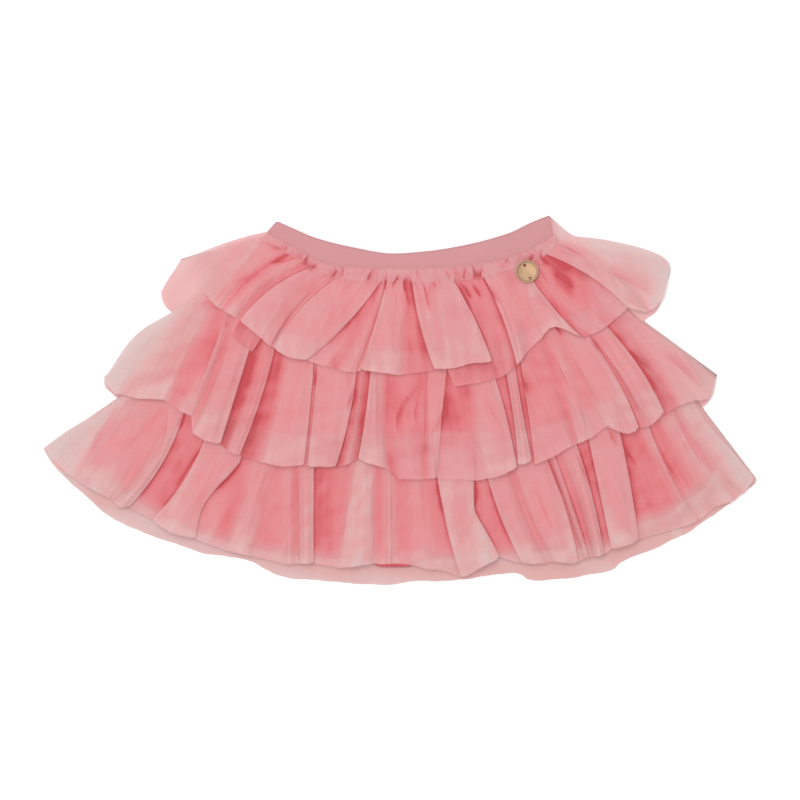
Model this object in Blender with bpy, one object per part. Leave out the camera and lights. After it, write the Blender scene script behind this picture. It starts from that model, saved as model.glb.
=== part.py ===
"""A toddler's tulle skirt with three gathered tiers, laid flat on its back with its front up.

Tables and sizes are in millimetres, X to the wearer's left hand, Y towards the waist, Z up from
the surface that the skirt lies on. The meshes are in metres. The layers lie on each other from the
back tiers, at the bottom, through the back and front of the lining to the front tiers.
"""

import math
from collections import namedtuple

import bpy
import numpy as np

MM = 0.001
WALL = 1.0  # one layer of tulle or lining, with its fluff
BAND_WALL = 1.6  # the knitted elastic
GAP = 0.3  # between pieces that touch
SEAM_GAP = 0.4  # between edges that are sewn together, along the cloth

# Heights of each layer's middle above the surface.
BACK_OUTER = WALL / 2
BACK_INNER = BACK_OUTER + WALL + GAP
BACK_LINING = BACK_INNER + WALL + GAP
FRONT_LINING = BACK_LINING + WALL + GAP
FRONT_TIER = FRONT_LINING + WALL + GAP
BACK_BAND = WALL + GAP + BAND_WALL / 2
FRONT_BAND = BACK_BAND + BAND_WALL + GAP
HEADING = FRONT_BAND + BAND_WALL / 2 + GAP + WALL / 2
LYING_ON_TIER = 10.5  # a front tier's valleys where it covers the tier below

GATHERS = 44
GATHER_RELIEF = 1.3
SEAM_RELIEF = 0.8  # a fold's rise where it leaves its seam
FLANK_SLOPE = 1.6  # rise over run of a fold's sides
SHOULDER = 0.75  # of a crest's rise, at its two edges

BUTTON_RADIUS = 8.0
BUTTON_THICK = 1.7
BUTTON_SHANK = 0.8  # thread between the button and the gathers
BUTTON_RIM = 1.0
BUTTON_DISH = 0.35
BUTTON_HOLE = 0.9
BUTTON_CENTRE = (91.4, 92.5)
BUTTON_HOLES = ((89.6, 96.8), (93.6, 87.5))
BUTTON_SEGMENTS = 40

# How finely the flat panels are divided along X.
BAND_COLUMNS = 49
LINING_COLUMNS = 37
BACK_COLUMNS = 45
HEM_COLUMNS = 81
BACK_1_RIGHT = 113.0  # where the first back tier's seam ends, beside the heading

# Where the elastic's upper edge, the heading's upper edge and the gathering line run, as (x, y).
BAND_TOP = (
    (-90, 129.5), (-77, 123.5), (-60, 116.5), (-34, 110), (-5, 105.5),
    (18, 107), (44, 111), (78, 120), (95, 128), (109, 133.6),
)
HEADING_TOP = (
    (-94.5, 121.5), (-79, 113), (-66, 106), (-54, 100), (-39, 98),
    (0, 97), (36, 98), (72, 103), (94, 111), (111, 121),
)
GATHER_LINE = (
    (-99, 116), (-84, 108), (-64, 95), (-39, 87), (0, 85),
    (36, 85), (72, 92), (101, 102), (113, 113),
)

# Where each tier is sewn to the lining, the first 1 mm below the gathering line.
TIER_1_SEAM = (
    (-99, 115), (-84, 107), (-64, 94), (-39, 86), (0, 84),
    (36, 84), (72, 91), (101, 101), (113, 111.6), (113.7, 112.6), (114.4, 126.5),
)
TIER_2_SEAM = (
    (-144, 75), (-115, 65), (-90, 54), (-57, 41), (-21, 36), (22, 35),
    (65, 37), (101, 54), (130, 63), (148, 69), (159, 70),
)
TIER_3_SEAM = (
    (-190, 11), (-169, 8), (-151, 1), (-129, -9), (-100, -20), (-72, -26),
    (-36, -26), (22, -23), (58, -23), (87, -22), (116, -15), (144, -2),
    (173, 3), (195, 8), (209, 7),
)

# The lining's hem, from the bottom of one side seam to the other.
LINING_HEM = (
    (-226, -49), (-198, -65), (-180, -78), (-144, -96), (-118, -103), (-84, -111),
    (-43, -114), (0, -114), (36, -113), (80, -110), (146, -105), (173, -89),
    (195, -80), (208, -70), (222, -61), (227, -51),
)

# The back tiers' hems. Their ends stand out past the front tiers.
BACK_1_HEM = (
    (-158, 103), (-163, 92), (-174, 78), (-172, 73), (-165, 63), (-122, 46), (-79, 25),
    (-36, 15), (0, 14), (36, 13), (80, 17), (116, 36), (144, 43), (174, 54),
    (180, 60), (188, 69), (192, 80), (197, 93), (193, 103),
)
BACK_2_HEM = (
    (-213, 17), (-211, 11), (-207, 5), (-180, -18), (-129, -40), (-72, -54),
    (0, -60), (72, -58), (144, -36), (188, -18), (221, -5), (226, 5), (230, 16),
)
BACK_3_HEM = (
    (-257.4, -35), (-247, -52), (-227, -69), (-205, -88), (-178, -98), (-147, -110),
    (-126, -113), (-108, -115), (-99, -121), (-86, -128), (-60, -130), (-26, -133),
    (-7, -133.6), (-2, -131), (29, -131), (54, -128), (76, -125), (87, -125),
    (93, -131), (116, -129), (137, -127), (152, -123), (160, -116), (180, -109),
    (202, -99), (224, -85), (245, -69), (257.4, -59),
)

# One row for each fold that stands up on a front tier, from left to right. seam_left and
# seam_right are where its two edges leave the seam, along X. hem_left and hem_right are where they
# end, as (x, y). rise is its height at the hem, bow is how far its edges curve to the left of
# straight, and hang is how far the valley on its right hangs below the folds beside it.
Fold = namedtuple("Fold", "seam_left seam_right hem_left hem_right rise bow hang")
TIER_1_FOLDS = (
    Fold(-98.5, -93, (-159, 102), (-158, 93), 2.5, 2, 0),
    Fold(-91, -84, (-151, 86), (-138, 70), 4, 5, 1),
    Fold(-79, -69, (-131, 65), (-121, 59), 3, 6, 2),
    Fold(-63, -49, (-115, 57), (-92, 39), 6, 6, 0),
    Fold(-44, -22, (-88, 36), (-69, 29), 6.5, 5, 5),
    Fold(-8, 2, (-28, 21), (-3, 19), 5, 2, 1),
    Fold(8, 40, (28, 20), (67, 28), 7, 0, 6),
    Fold(59, 76, (82, 18), (92, 34), 5, -2, 0),
    Fold(82, 90, (117, 56), (130, 44), 5, -4, 0),
    Fold(95, 101, (144, 50), (154, 55), 2.5, -5, 0),
    Fold(106, 110, (166, 64), (185, 63), 5, -5, 0),
    Fold(113.7, 114.4, (190, 73), (196.5, 98), 3, -4, 0),
)
TIER_2_FOLDS = (
    Fold(-143.5, -139, (-213, 16), (-206, 5), 2.5, 8, 0),
    Fold(-137, -132, (-190, 1), (-169, -2), 4, 6, 0),
    Fold(-128, -123, (-158, -9), (-149, -11), 4, 2, 0),
    Fold(-118, -102, (-151, -24), (-129, -30), 7, 0, 0),
    Fold(-96, -89, (-125, -33), (-114, -39), 4, 0, 0),
    Fold(-82, -64, (-99, -41), (-69, -47), 6, -1, 0),
    Fold(-60, -40, (-67, -48), (-46, -49), 6.5, 0, 0),
    Fold(-36, -31, (-42, -47), (-36, -46), 3, 0, 0),
    Fold(-23, -11, (-29, -43), (-11, -49), 6, 1, 0),
    Fold(-5, 6, (-3, -57), (15, -57), 3, 2, 0),
    Fold(14, 24, (21, -57), (33, -57), 3, 0, 0),
    Fold(48, 60, (54, -59), (83, -49), 6.5, -2, 0),
    Fold(73, 80, (86, -50), (94, -46), 5, 0, 0),
    Fold(84, 97, (97, -48), (123, -34), 4, -1, 0),
    Fold(102, 109, (127, -31), (139, -25), 4.5, -2, 0),
    Fold(113, 124, (147, -19), (171, -22), 6.5, -1, 0),
    Fold(128, 137, (177, -20), (190, -9), 5, -2, 2),
    Fold(143, 158.5, (200, -3), (216, 0), 3, 0, 0),
)
TIER_3_FOLDS = (
    Fold(-189.5, -185, (-257, -35), (-239, -56), 2.5, 5, 0),
    Fold(-182, -173, (-230, -53), (-210, -65), 4, 3, 0),
    Fold(-169, -153, (-206, -68), (-195, -77), 7, -2, 0),
    Fold(-124, -108, (-178, -88), (-149, -100), 7.5, -2, 0),
    Fold(-96, -88, (-125, -109), (-109, -113), 6, 0, 0),
    Fold(-84, -77, (-84, -118), (-77, -118), 4, 0, 0),
    Fold(-73, -62, (-72, -118), (-62, -118), 8, 0, 0),
    Fold(-31, -20, (-43, -121), (-20, -120), 8, 0, 0),
    Fold(-11, -5, (-10, -120), (-5, -118), 5, 0, 0),
    Fold(2, 14, (4, -121), (19, -122), 2.5, 0, 2),
    Fold(22, 51, (41, -127), (72, -114), 8, 1, 0),
    Fold(56, 72, (88, -118), (108, -118), 5.5, 3, 0),
    Fold(77, 95, (112, -117), (127, -116), 6, 1, 0),
    Fold(99, 104, (131, -113), (135, -114), 5, 0, 0),
    Fold(109, 120, (138, -113), (147, -111), 7, 0, 0),
    Fold(132, 153, (152, -107), (172, -101), 8, 0, 0),
    Fold(170, 175, (193, -93), (199, -91), 3.5, 0, 0),
    Fold(181, 189, (216, -83), (233, -75), 5, 0, 0),
    Fold(195, 208.5, (240, -71), (257, -59), 3, -2, 0),
)

# How a front tier lies: its valleys are at the height low until the fraction climb_from of the
# way from seam to hem, and at high from climb_to on. Past the lining they sink by wing_drop more.
Tier = namedtuple("Tier", "seam folds low high climb_from climb_to wing_drop steps")
TIER_1 = Tier(TIER_1_SEAM, TIER_1_FOLDS, FRONT_TIER, LYING_ON_TIER, 0.25, 0.64, 4.0, 6)
TIER_2 = Tier(TIER_2_SEAM, TIER_2_FOLDS, FRONT_TIER, LYING_ON_TIER, 0.3, 0.66, 4.0, 7)
TIER_3 = Tier(TIER_3_SEAM, TIER_3_FOLDS, FRONT_TIER, FRONT_TIER, 0.3, 0.7, 0.0, 8)
EDGE_DROP = FRONT_TIER - BACK_LINING  # past the lining's side, down to just above the back
EDGE_STARTS = 2.5  # how far outside the lining's side the drop begins
EDGE_RUN = 12.0
WING_STARTS = 10.0
WING_RUN = 30.0
FOOT_SHARE = 0.4  # the most of a valley's width that one fold's side takes

# How a back tier steps down past the hem of the tier outside it.
STEP_STARTS = 1.5
STEP_ENDS = 9.0
STEP_RANGE = (0.08, 0.8)  # where the step may begin, as a fraction of the way to the hem
SHORTEST_STEP = 0.06
LAST_STEP_END = 0.9

TULLE = ("tulle", (0.81, 0.43, 0.44, 1), 0.8, 0)
LINING = ("lining", (0.68, 0.11, 0.13, 1), 0.75, 0)
ELASTIC = ("waistband", (0.68, 0.31, 0.33, 1), 0.85, 0)
BRASS = ("button", (0.72, 0.54, 0.30, 1), 0.35, 1)


def smooth(t):
    t = np.clip(t, 0, 1)
    return t * t * (3 - 2 * t)


def curve_at(points, x):
    """y of the smooth curve through the points, without overshoot between them."""
    px, py = np.array(points, float).T
    steps = np.diff(px)
    slopes = np.diff(py) / steps
    a, b = slopes[:-1], slopes[1:]
    turning = a * b <= 0
    inner = np.where(turning, 0, 2 * a * b / np.where(turning, 1, a + b))
    tangents = np.concatenate([slopes[:1], inner, slopes[-1:]])
    x = np.clip(x, px[0], px[-1])
    i = np.clip(np.searchsorted(px, x, side="right") - 1, 0, len(steps) - 1)
    t = (x - px[i]) / steps[i]
    rest = 1 - t
    ends = py[i] * (1 + 2 * t) * rest * rest + py[i + 1] * (3 - 2 * t) * t * t
    return ends + steps[i] * t * rest * (tangents[i] * rest - tangents[i + 1] * t)


def on_curve(points, columns, first=None, last=None):
    """columns points on the smooth curve, from x = first to x = last or from end to end."""
    first = points[0][0] if first is None else first
    last = points[-1][0] if last is None else last
    x = np.linspace(first, last, columns)
    return np.stack([x, curve_at(points, x)], axis=1)


def along(points, columns):
    """columns points spread evenly by length along straight runs between the points."""
    points = np.array(points, float)
    length = np.concatenate([[0], np.cumsum(np.hypot(*np.diff(points, axis=0).T))])
    at = np.linspace(0, length[-1], columns)
    return np.stack([np.interp(at, length, points[:, axis]) for axis in (0, 1)], axis=1)


def past_lining(x, y):
    """How far a point lies outside the nearer side edge of the lining."""
    outside = []
    for top, bottom, turn in ((GATHER_LINE[0], LINING_HEM[0], 1), (GATHER_LINE[-1], LINING_HEM[-1], -1)):
        run, fall = bottom[0] - top[0], bottom[1] - top[1]
        across = (x - top[0]) * fall - (y - top[1]) * run
        outside.append(turn * across / math.hypot(run, fall))
    return np.maximum(*outside)


def material(finish):
    name, colour, roughness, metallic = finish
    made = bpy.data.materials.get(name)
    if made is None:
        made = bpy.data.materials.new(name)
        made.use_nodes = True
        shader = made.node_tree.nodes["Principled BSDF"]
        shader.inputs["Base Color"].default_value = colour
        shader.inputs["Roughness"].default_value = roughness
        shader.inputs["Metallic"].default_value = metallic
    return made


def add_object(name, points, faces, finish):
    mesh = bpy.data.meshes.new(name)
    mesh.from_pydata([tuple(point * MM) for point in points], [], faces)
    mesh.materials.append(material(finish))
    mesh.shade_smooth()
    mesh.set_sharp_from_angle(angle=math.radians(50))
    made = bpy.data.objects.new(name, mesh)
    bpy.context.scene.collection.objects.link(made)
    return made


def add_wall(name, middle, thickness, finish):
    """A closed wall round a grid of middle points, whose rows run from seam to hem."""
    across = np.gradient(middle, axis=1)
    down = np.gradient(middle, axis=0)
    normal = np.cross(down, across)
    normal /= np.linalg.norm(normal, axis=2, keepdims=True)
    rows, columns = middle.shape[:2]
    half = normal * thickness / 2
    points = np.concatenate([(middle + half).reshape(-1, 3), (middle - half).reshape(-1, 3)])
    under = rows * columns
    faces = []
    for r in range(rows - 1):
        for c in range(columns - 1):
            a = r * columns + c
            quad = (a, a + columns, a + columns + 1, a + 1)
            faces.append(quad)
            faces.append(tuple(under + corner for corner in reversed(quad)))
    left = [r * columns for r in range(rows)]
    hem = [(rows - 1) * columns + c for c in range(columns)]
    right = [r * columns + columns - 1 for r in reversed(range(rows))]
    seam = list(reversed(range(columns)))
    rim = left + hem[1:] + right[1:] + seam[1:-1]
    for a, b in zip(rim, rim[1:] + rim[:1]):
        faces.append((b, a, under + a, under + b))
    return add_object(name, points, faces, finish)


def folded_panel(tier):
    """The middle points of a front tier: straight or bowed lines from seam to hem, fold by fold."""
    rows = []
    for v in np.linspace(0, 1, tier.steps):
        edges = []
        for fold in tier.folds:
            for seam_x, hem in ((fold.seam_left, fold.hem_left), (fold.seam_right, fold.hem_right)):
                start = np.array([seam_x, float(curve_at(tier.seam, seam_x))])
                chord = np.array(hem) - start
                sideways = np.array([chord[1], -chord[0]]) / np.hypot(*chord)
                edges.append((start + chord * v + sideways * fold.bow * 4 * v * (1 - v), chord))
        row = []
        for i, fold in enumerate(tier.folds):
            (left, _), (right, chord) = edges[2 * i], edges[2 * i + 1]
            rise = SEAM_RELIEF + (fold.rise - SEAM_RELIEF) * smooth(v)
            first, last = i == 0, i == len(tier.folds) - 1
            row.append((*left, 0 if first else rise * SHOULDER))
            row.append((*(left + right) / 2, rise))
            row.append((*right, 0 if last else rise * SHOULDER))
            if last:
                break
            following = edges[2 * i + 2][0]
            width = np.hypot(*(following - right))
            hanging = chord / np.hypot(*chord) * fold.hang * v * v
            for end, toward, height in (
                (right, following, rise),
                (following, right, SEAM_RELIEF + (tier.folds[i + 1].rise - SEAM_RELIEF) * smooth(v)),
            ):
                run = min(height * SHOULDER / FLANK_SLOPE, FOOT_SHARE * width)
                foot = end + (toward - end) * run / width + hanging
                row.append((*foot, max(0, height * SHOULDER - run * FLANK_SLOPE)))
        row = np.array(row)
        outside = past_lining(row[:, 0], row[:, 1])
        climb = smooth((v - tier.climb_from) / (tier.climb_to - tier.climb_from))
        floor = tier.low + (tier.high - tier.low) * climb
        floor = floor - EDGE_DROP * smooth((outside - EDGE_STARTS) / EDGE_RUN)
        floor = floor - tier.wing_drop * climb * smooth((outside - WING_STARTS) / WING_RUN)
        row[:, 2] += floor
        rows.append(row)
    return np.array(rows)


def flat_panel(top, bottom, rows, height):
    """The middle points of a flat panel ruled between two edges."""
    v = np.linspace(0, 1, rows)[:, None, None]
    flat = top[None] * (1 - v) + bottom[None] * v
    return np.concatenate([flat, np.full(flat.shape[:2] + (1,), height)], axis=2)


def stepped_panel(top, bottom, lower_hem, rows_below):
    """A back tier: over the tier outside it, then down to the surface past that tier's hem."""
    first_step, last_step = STEP_RANGE
    columns = []
    for start, end in zip(top, bottom):
        t = np.linspace(0, 1, 400)
        line = start + (end - start) * t[:, None]
        past = curve_at(lower_hem, line[:, 0]) - line[:, 1]
        down = t[np.argmax(past > STEP_STARTS)] if past[-1] > STEP_STARTS else 1
        flat = t[np.argmax(past > STEP_ENDS)] if past[-1] > STEP_ENDS else 1
        down = min(max(down, first_step), last_step)
        flat = min(max(flat, down + SHORTEST_STEP), LAST_STEP_END)
        v = np.concatenate([[0, down / 2, down], np.linspace(flat, 1, rows_below)])
        height = np.where(v <= down, BACK_INNER, BACK_OUTER)
        spots = start + (end - start) * v[:, None]
        columns.append(np.concatenate([spots, height[:, None]], axis=1))
    return np.array(columns).transpose(1, 0, 2)


def edges_from(top, columns):
    """The upper edge and, below it, the gathering line."""
    return on_curve(top, columns), on_curve(GATHER_LINE, columns)


def seam_ends(folds):
    return folds[0].seam_left, folds[-1].seam_right


def gathered_heading():
    """The tulle's gathered top on the elastic, one wave for each gather."""
    points_per_gather = 4
    columns = GATHERS * points_per_gather + 1
    top, bottom = edges_from(HEADING_TOP, columns)
    middle = flat_panel(top, bottom, 3, HEADING)
    phase = np.arange(columns) / points_per_gather
    wave = 0.5 - 0.5 * np.cos(2 * math.pi * phase)
    uneven = 0.75 + 0.25 * np.sin(phase * 2.1) * np.cos(phase * 0.7)
    middle[:, :, 2] += GATHER_RELIEF * wave * uneven
    return middle


def add_button(height):
    """A dished metal disc with a raised rim and two holes, turned about its centre."""
    outer, inner = BUTTON_RADIUS, BUTTON_RADIUS - BUTTON_RIM
    edge = 0.3
    profile = (
        (outer - edge, 0), (outer, edge), (outer, BUTTON_THICK - edge),
        (outer - edge, BUTTON_THICK), (inner, BUTTON_THICK),
        (inner - BUTTON_DISH, BUTTON_THICK - BUTTON_DISH),
    )
    points, faces = [], []
    for s in range(BUTTON_SEGMENTS):
        angle = 2 * math.pi * s / BUTTON_SEGMENTS
        for radius, z in profile:
            x = BUTTON_CENTRE[0] + radius * math.cos(angle)
            y = BUTTON_CENTRE[1] + radius * math.sin(angle)
            points.append(np.array([x, y, height + z]))
    count = len(profile)
    for s in range(BUTTON_SEGMENTS):
        here, after = s * count, (s + 1) % BUTTON_SEGMENTS * count
        for k in range(count - 1):
            faces.append((here + k, after + k, after + k + 1, here + k + 1))
    faces.append([s * count for s in reversed(range(BUTTON_SEGMENTS))])
    faces.append([s * count + count - 1 for s in range(BUTTON_SEGMENTS)])
    button = add_object("button", points, faces, BRASS)
    for number, (x, y) in enumerate(BUTTON_HOLES):
        bpy.ops.mesh.primitive_cylinder_add(
            vertices=16,
            radius=BUTTON_HOLE * MM,
            depth=BUTTON_THICK * 3 * MM,
            location=(x * MM, y * MM, (height + BUTTON_THICK / 2) * MM),
        )
        cutter = bpy.context.object
        cutter.name = f"button_hole_cutter_{number + 1}"
        cutter.hide_render = True
        cutter.display_type = "WIRE"
        cut = button.modifiers.new(f"hole_{number + 1}", "BOOLEAN")
        cut.operation = "DIFFERENCE"
        cut.object = cutter


def build():
    band = edges_from(BAND_TOP, BAND_COLUMNS)
    add_wall("waistband_back", flat_panel(*band, 3, BACK_BAND), BAND_WALL, ELASTIC)
    add_wall("waistband_front", flat_panel(*band, 3, FRONT_BAND), BAND_WALL, ELASTIC)
    heading = edges_from(HEADING_TOP, LINING_COLUMNS)
    add_wall("waist_heading_back", flat_panel(*heading, 2, BACK_OUTER), WALL, TULLE)
    add_wall("waist_heading_front", gathered_heading(), WALL, TULLE)

    below_band = on_curve(GATHER_LINE, LINING_COLUMNS) - (0, SEAM_GAP)
    lining_hem = along(LINING_HEM, LINING_COLUMNS)
    add_wall("lining_back", flat_panel(below_band, lining_hem, 4, BACK_LINING), WALL, LINING)
    add_wall("lining_front", flat_panel(below_band, lining_hem, 4, FRONT_LINING), WALL, LINING)

    top_1 = on_curve(TIER_1_SEAM, BACK_COLUMNS, TIER_1_FOLDS[0].seam_left, BACK_1_RIGHT)
    top_2 = on_curve(TIER_2_SEAM, BACK_COLUMNS, *seam_ends(TIER_2_FOLDS))
    top_3 = on_curve(TIER_3_SEAM, HEM_COLUMNS, *seam_ends(TIER_3_FOLDS))
    back_1 = flat_panel(top_1, along(BACK_1_HEM, BACK_COLUMNS), 4, BACK_OUTER)
    back_2 = stepped_panel(top_2, along(BACK_2_HEM, BACK_COLUMNS), BACK_1_HEM[2:-3], 3)
    back_3 = stepped_panel(top_3, along(BACK_3_HEM, HEM_COLUMNS), BACK_2_HEM, 3)
    for number, middle in enumerate((back_1, back_2, back_3), 1):
        add_wall(f"tier_{number}_back", middle, WALL, TULLE)
    for number, tier in enumerate((TIER_1, TIER_2, TIER_3), 1):
        add_wall(f"tier_{number}_front", folded_panel(tier), WALL, TULLE)

    add_button(HEADING + WALL / 2 + GATHER_RELIEF + BUTTON_SHANK)


for old in list(bpy.data.objects):
    bpy.data.objects.remove(old)
build()
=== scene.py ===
import math
from collections import namedtuple

import bpy
import numpy as np
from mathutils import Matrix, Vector


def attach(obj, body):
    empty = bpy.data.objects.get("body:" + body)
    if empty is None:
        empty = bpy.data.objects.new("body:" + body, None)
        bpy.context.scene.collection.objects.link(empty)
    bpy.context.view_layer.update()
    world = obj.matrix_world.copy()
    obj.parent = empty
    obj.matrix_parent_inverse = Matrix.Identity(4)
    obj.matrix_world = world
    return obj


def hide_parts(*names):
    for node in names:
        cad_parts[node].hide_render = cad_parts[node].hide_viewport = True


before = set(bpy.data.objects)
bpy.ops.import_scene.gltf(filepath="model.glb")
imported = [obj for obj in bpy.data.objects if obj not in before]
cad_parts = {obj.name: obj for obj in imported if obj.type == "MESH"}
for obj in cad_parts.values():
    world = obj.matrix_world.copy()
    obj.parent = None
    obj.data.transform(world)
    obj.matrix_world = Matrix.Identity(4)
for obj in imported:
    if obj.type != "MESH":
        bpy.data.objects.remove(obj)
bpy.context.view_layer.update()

millimetre = 0.001

# Tables and sizes are in millimetres: x to the wearer's left hand, y to the waist, z up.
# Heights of the middle of each layer over the surface that the skirt lies on.
height = {
    "backOuter": 0.5,
    "backInner": 1.8,  # a tier's back, where the tier above it is the outer one
    "backLining": 3.1,
    "frontLining": 4.4,
    "frontTier": 5.7,
    "backBand": 2.1,
    "frontBand": 4.0,
    "heading": 5.6,
    "onLowerTier": 10.5,
}

# outlines, from the wearer's right to the left
bandTop = (
    (-90, 129.5), (-77, 123.5), (-60, 116.5), (-34, 110), (-5, 105.5),
    (18, 107), (44, 111), (78, 120), (95, 128), (109, 133.6),
)
headingTop = (
    (-94.5, 121.5), (-79, 113), (-66, 106), (-54, 100), (-39, 98),
    (0, 97), (36, 98), (72, 103), (94, 111), (111, 121),
)
gatherLine = (
    (-99, 116), (-84, 108), (-64, 95), (-39, 87), (0, 85),
    (36, 85), (72, 92), (101, 102), (113, 113),
)
liningHem = (
    (-226, -49), (-198, -65), (-180, -78), (-144, -96), (-118, -103), (-84, -111),
    (-43, -114), (0, -114), (36, -113), (80, -110), (146, -105), (173, -89),
    (195, -80), (208, -70), (222, -61), (227, -51),
)


def ramp(value, start, end):
    # 0 up to start, 1 from end on, and smooth in between
    t = np.clip((value - start) / (end - start), 0, 1)
    return t * t * (3 - 2 * t)


def travelled(points):
    # the length along the points up to each of them, down every column of a grid
    steps = np.linalg.norm(np.diff(points, axis=0), axis=-1)
    return np.concatenate([0 * steps[:1], np.cumsum(steps, axis=0)])


def pathLength(points):
    return float(travelled(points)[-1])


def curveAt(points, x):
    # y of the smooth curve through the points, without overshoot
    px, py = np.array(points, float).T
    steps = np.diff(px)
    slopes = np.diff(py) / steps
    a, b = slopes[:-1], slopes[1:]
    turning = a * b <= 0
    inner = np.where(turning, 0, 2 * a * b / np.where(turning, 1, a + b))
    tangents = np.concatenate([slopes[:1], inner, slopes[-1:]])
    x = np.clip(x, px[0], px[-1])
    i = np.clip(np.searchsorted(px, x, side="right") - 1, 0, len(steps) - 1)
    t = (x - px[i]) / steps[i]
    rest = 1 - t
    ends = py[i] * (1 + 2 * t) * rest * rest + py[i + 1] * (3 - 2 * t) * t * t
    return ends + steps[i] * t * rest * (tangents[i] * rest - tangents[i + 1] * t)


def onCurve(points, first, last, shares):
    # points of the curve at these shares of the way in x
    x = first + (last - first) * shares
    return np.stack([x, curveAt(points, x)], axis=1)


def wholeCurve(points, columns):
    return onCurve(points, points[0][0], points[-1][0], np.linspace(0, 1, columns))


def along(points, columns):
    # points spread evenly by length along straight runs
    points = np.array(points, float)
    length = travelled(points)
    at = np.linspace(0, length[-1], columns)
    return np.stack([np.interp(at, length, points[:, axis]) for axis in (0, 1)], axis=1)


def panel(top, bottom, v):
    # straight from one edge to the other, with a row at each share v of the way
    v = v[:, None, None]
    return top * (1 - v) + bottom * v


def pastLining(x, y):
    # how far a point lies outside the nearer side edge of the lining
    outside = []
    for end, turn in ((0, 1), (-1, -1)):
        top, bottom = gatherLine[end], liningHem[end]
        run, fall = bottom[0] - top[0], bottom[1] - top[1]
        across = (x - top[0]) * fall - (y - top[1]) * run
        outside.append(turn * across / math.hypot(run, fall))
    return np.maximum(*outside)


def waves(x, y, size, seed, count=6):
    # smooth seeded unevenness between about -1 and 1, of waves that cross each other
    random = np.random.RandomState(seed)
    total = np.zeros(np.broadcast(x, y).shape)
    for _ in range(count):
        turn = random.uniform(0, math.tau)
        reach = size * random.uniform(0.7, 1.6)  # no two waves have the same length
        phase = random.uniform(0, math.tau)
        total += np.sin((x * math.cos(turn) + y * math.sin(turn)) * math.tau / reach + phase)
    return total / math.sqrt(count) / 1.2  # nearly all of it within 1


def rounded(rows, times=2):
    # cuts the corners across each row and keeps the two ends
    for _ in range(times):
        a, b = rows[:, :-1], rows[:, 1:]
        cut = np.stack([a * 0.75 + b * 0.25, a * 0.25 + b * 0.75], axis=2)
        cut = cut.reshape(rows.shape[0], -1, rows.shape[2])
        rows = np.concatenate([rows[:, :1], cut, rows[:, -1:]], axis=1)
    return rows


class Number:
    # one value on its way through the shader, so that a + b adds a Math node
    def __init__(self, finish, socket):
        self.finish = finish
        self.socket = socket

    def maths(self, operation, first, second):
        return self.finish.add("ShaderNodeMath", {"operation": operation}, {0: first, 1: second})

    def __add__(self, other):
        return self.maths("ADD", self, other)

    def __radd__(self, other):
        return self.maths("ADD", other, self)

    def __sub__(self, other):
        return self.maths("SUBTRACT", self, other)

    def __rsub__(self, other):
        return self.maths("SUBTRACT", other, self)

    def __mul__(self, other):
        return self.maths("MULTIPLY", self, other)

    def __rmul__(self, other):
        return self.maths("MULTIPLY", other, self)


class Finish:
    # one material and the nodes that make it
    def __init__(self, name, **fixed):
        self.material = bpy.data.materials.new(name)
        self.material.use_nodes = True
        self.tree = self.material.node_tree
        self.shader = self.tree.nodes["Principled BSDF"]
        self.set(**fixed)

    def add(self, kind, settings=None, inputs=None, output=0):
        made = self.tree.nodes.new(kind)
        for name, value in (settings or {}).items():
            if name == "stops":
                self.setStops(made.color_ramp, value)
            else:
                setattr(made, name, value)
        for socket, value in (inputs or {}).items():
            self.feed(made.inputs[socket], value)
        return Number(self, made.outputs[output])

    def setStops(self, row, stops):
        while len(row.elements) < len(stops):
            row.elements.new(0.5)
        for element, (place, colour) in zip(row.elements, stops):
            element.position = place
            element.color = (*colour, 1)

    def feed(self, socket, value):
        if isinstance(value, Number):
            self.tree.links.new(value.socket, socket)
        else:
            socket.default_value = value

    def set(self, **inputs):
        for socket, value in inputs.items():
            self.feed(self.shader.inputs[socket.replace("_", " ")], value)

    def place(self):
        return self.add("ShaderNodeTexCoord", output="Object")

    def cloth(self):
        return self.add("ShaderNodeUVMap", {"uv_map": "cloth"})

    def measure(self, name):
        return self.add("ShaderNodeAttribute", {"attribute_name": name}, output="Fac")

    def stretched(self, vector, scale):
        return self.add("ShaderNodeVectorMath", {"operation": "MULTIPLY"}, {0: vector, 1: scale})

    def noise(self, vector, scale, detail=2.0, roughness=0.5):
        inputs = {"Vector": vector, "Scale": scale, "Detail": detail, "Roughness": roughness}
        return self.add("ShaderNodeTexNoise", {}, inputs)

    def bands(self, vector, scale, direction, distortion=0.0):
        settings = {"bands_direction": direction}
        inputs = {"Vector": vector, "Scale": scale, "Distortion": distortion}
        return self.add("ShaderNodeTexWave", settings, inputs)

    def blended(self, mask, first, second):
        settings = {"data_type": "RGBA", "blend_type": "MIX"}
        inputs = {0: mask, 6: (*first, 1), 7: (*second, 1)}  # 6 and 7 are its two colours
        return self.add("ShaderNodeMix", settings, inputs, output=2)

    def ranged(self, value, fromLow, fromHigh, toLow, toHigh):
        settings = {"interpolation_type": "SMOOTHSTEP"}
        inputs = {"From Min": fromLow, "From Max": fromHigh, "To Min": toLow, "To Max": toHigh}
        return self.add("ShaderNodeMapRange", settings, {"Value": value, **inputs})

    def bump(self, heightValue, strength, distance):
        inputs = {"Height": heightValue, "Strength": strength, "Distance": distance}
        return self.add("ShaderNodeBump", {}, inputs)


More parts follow.
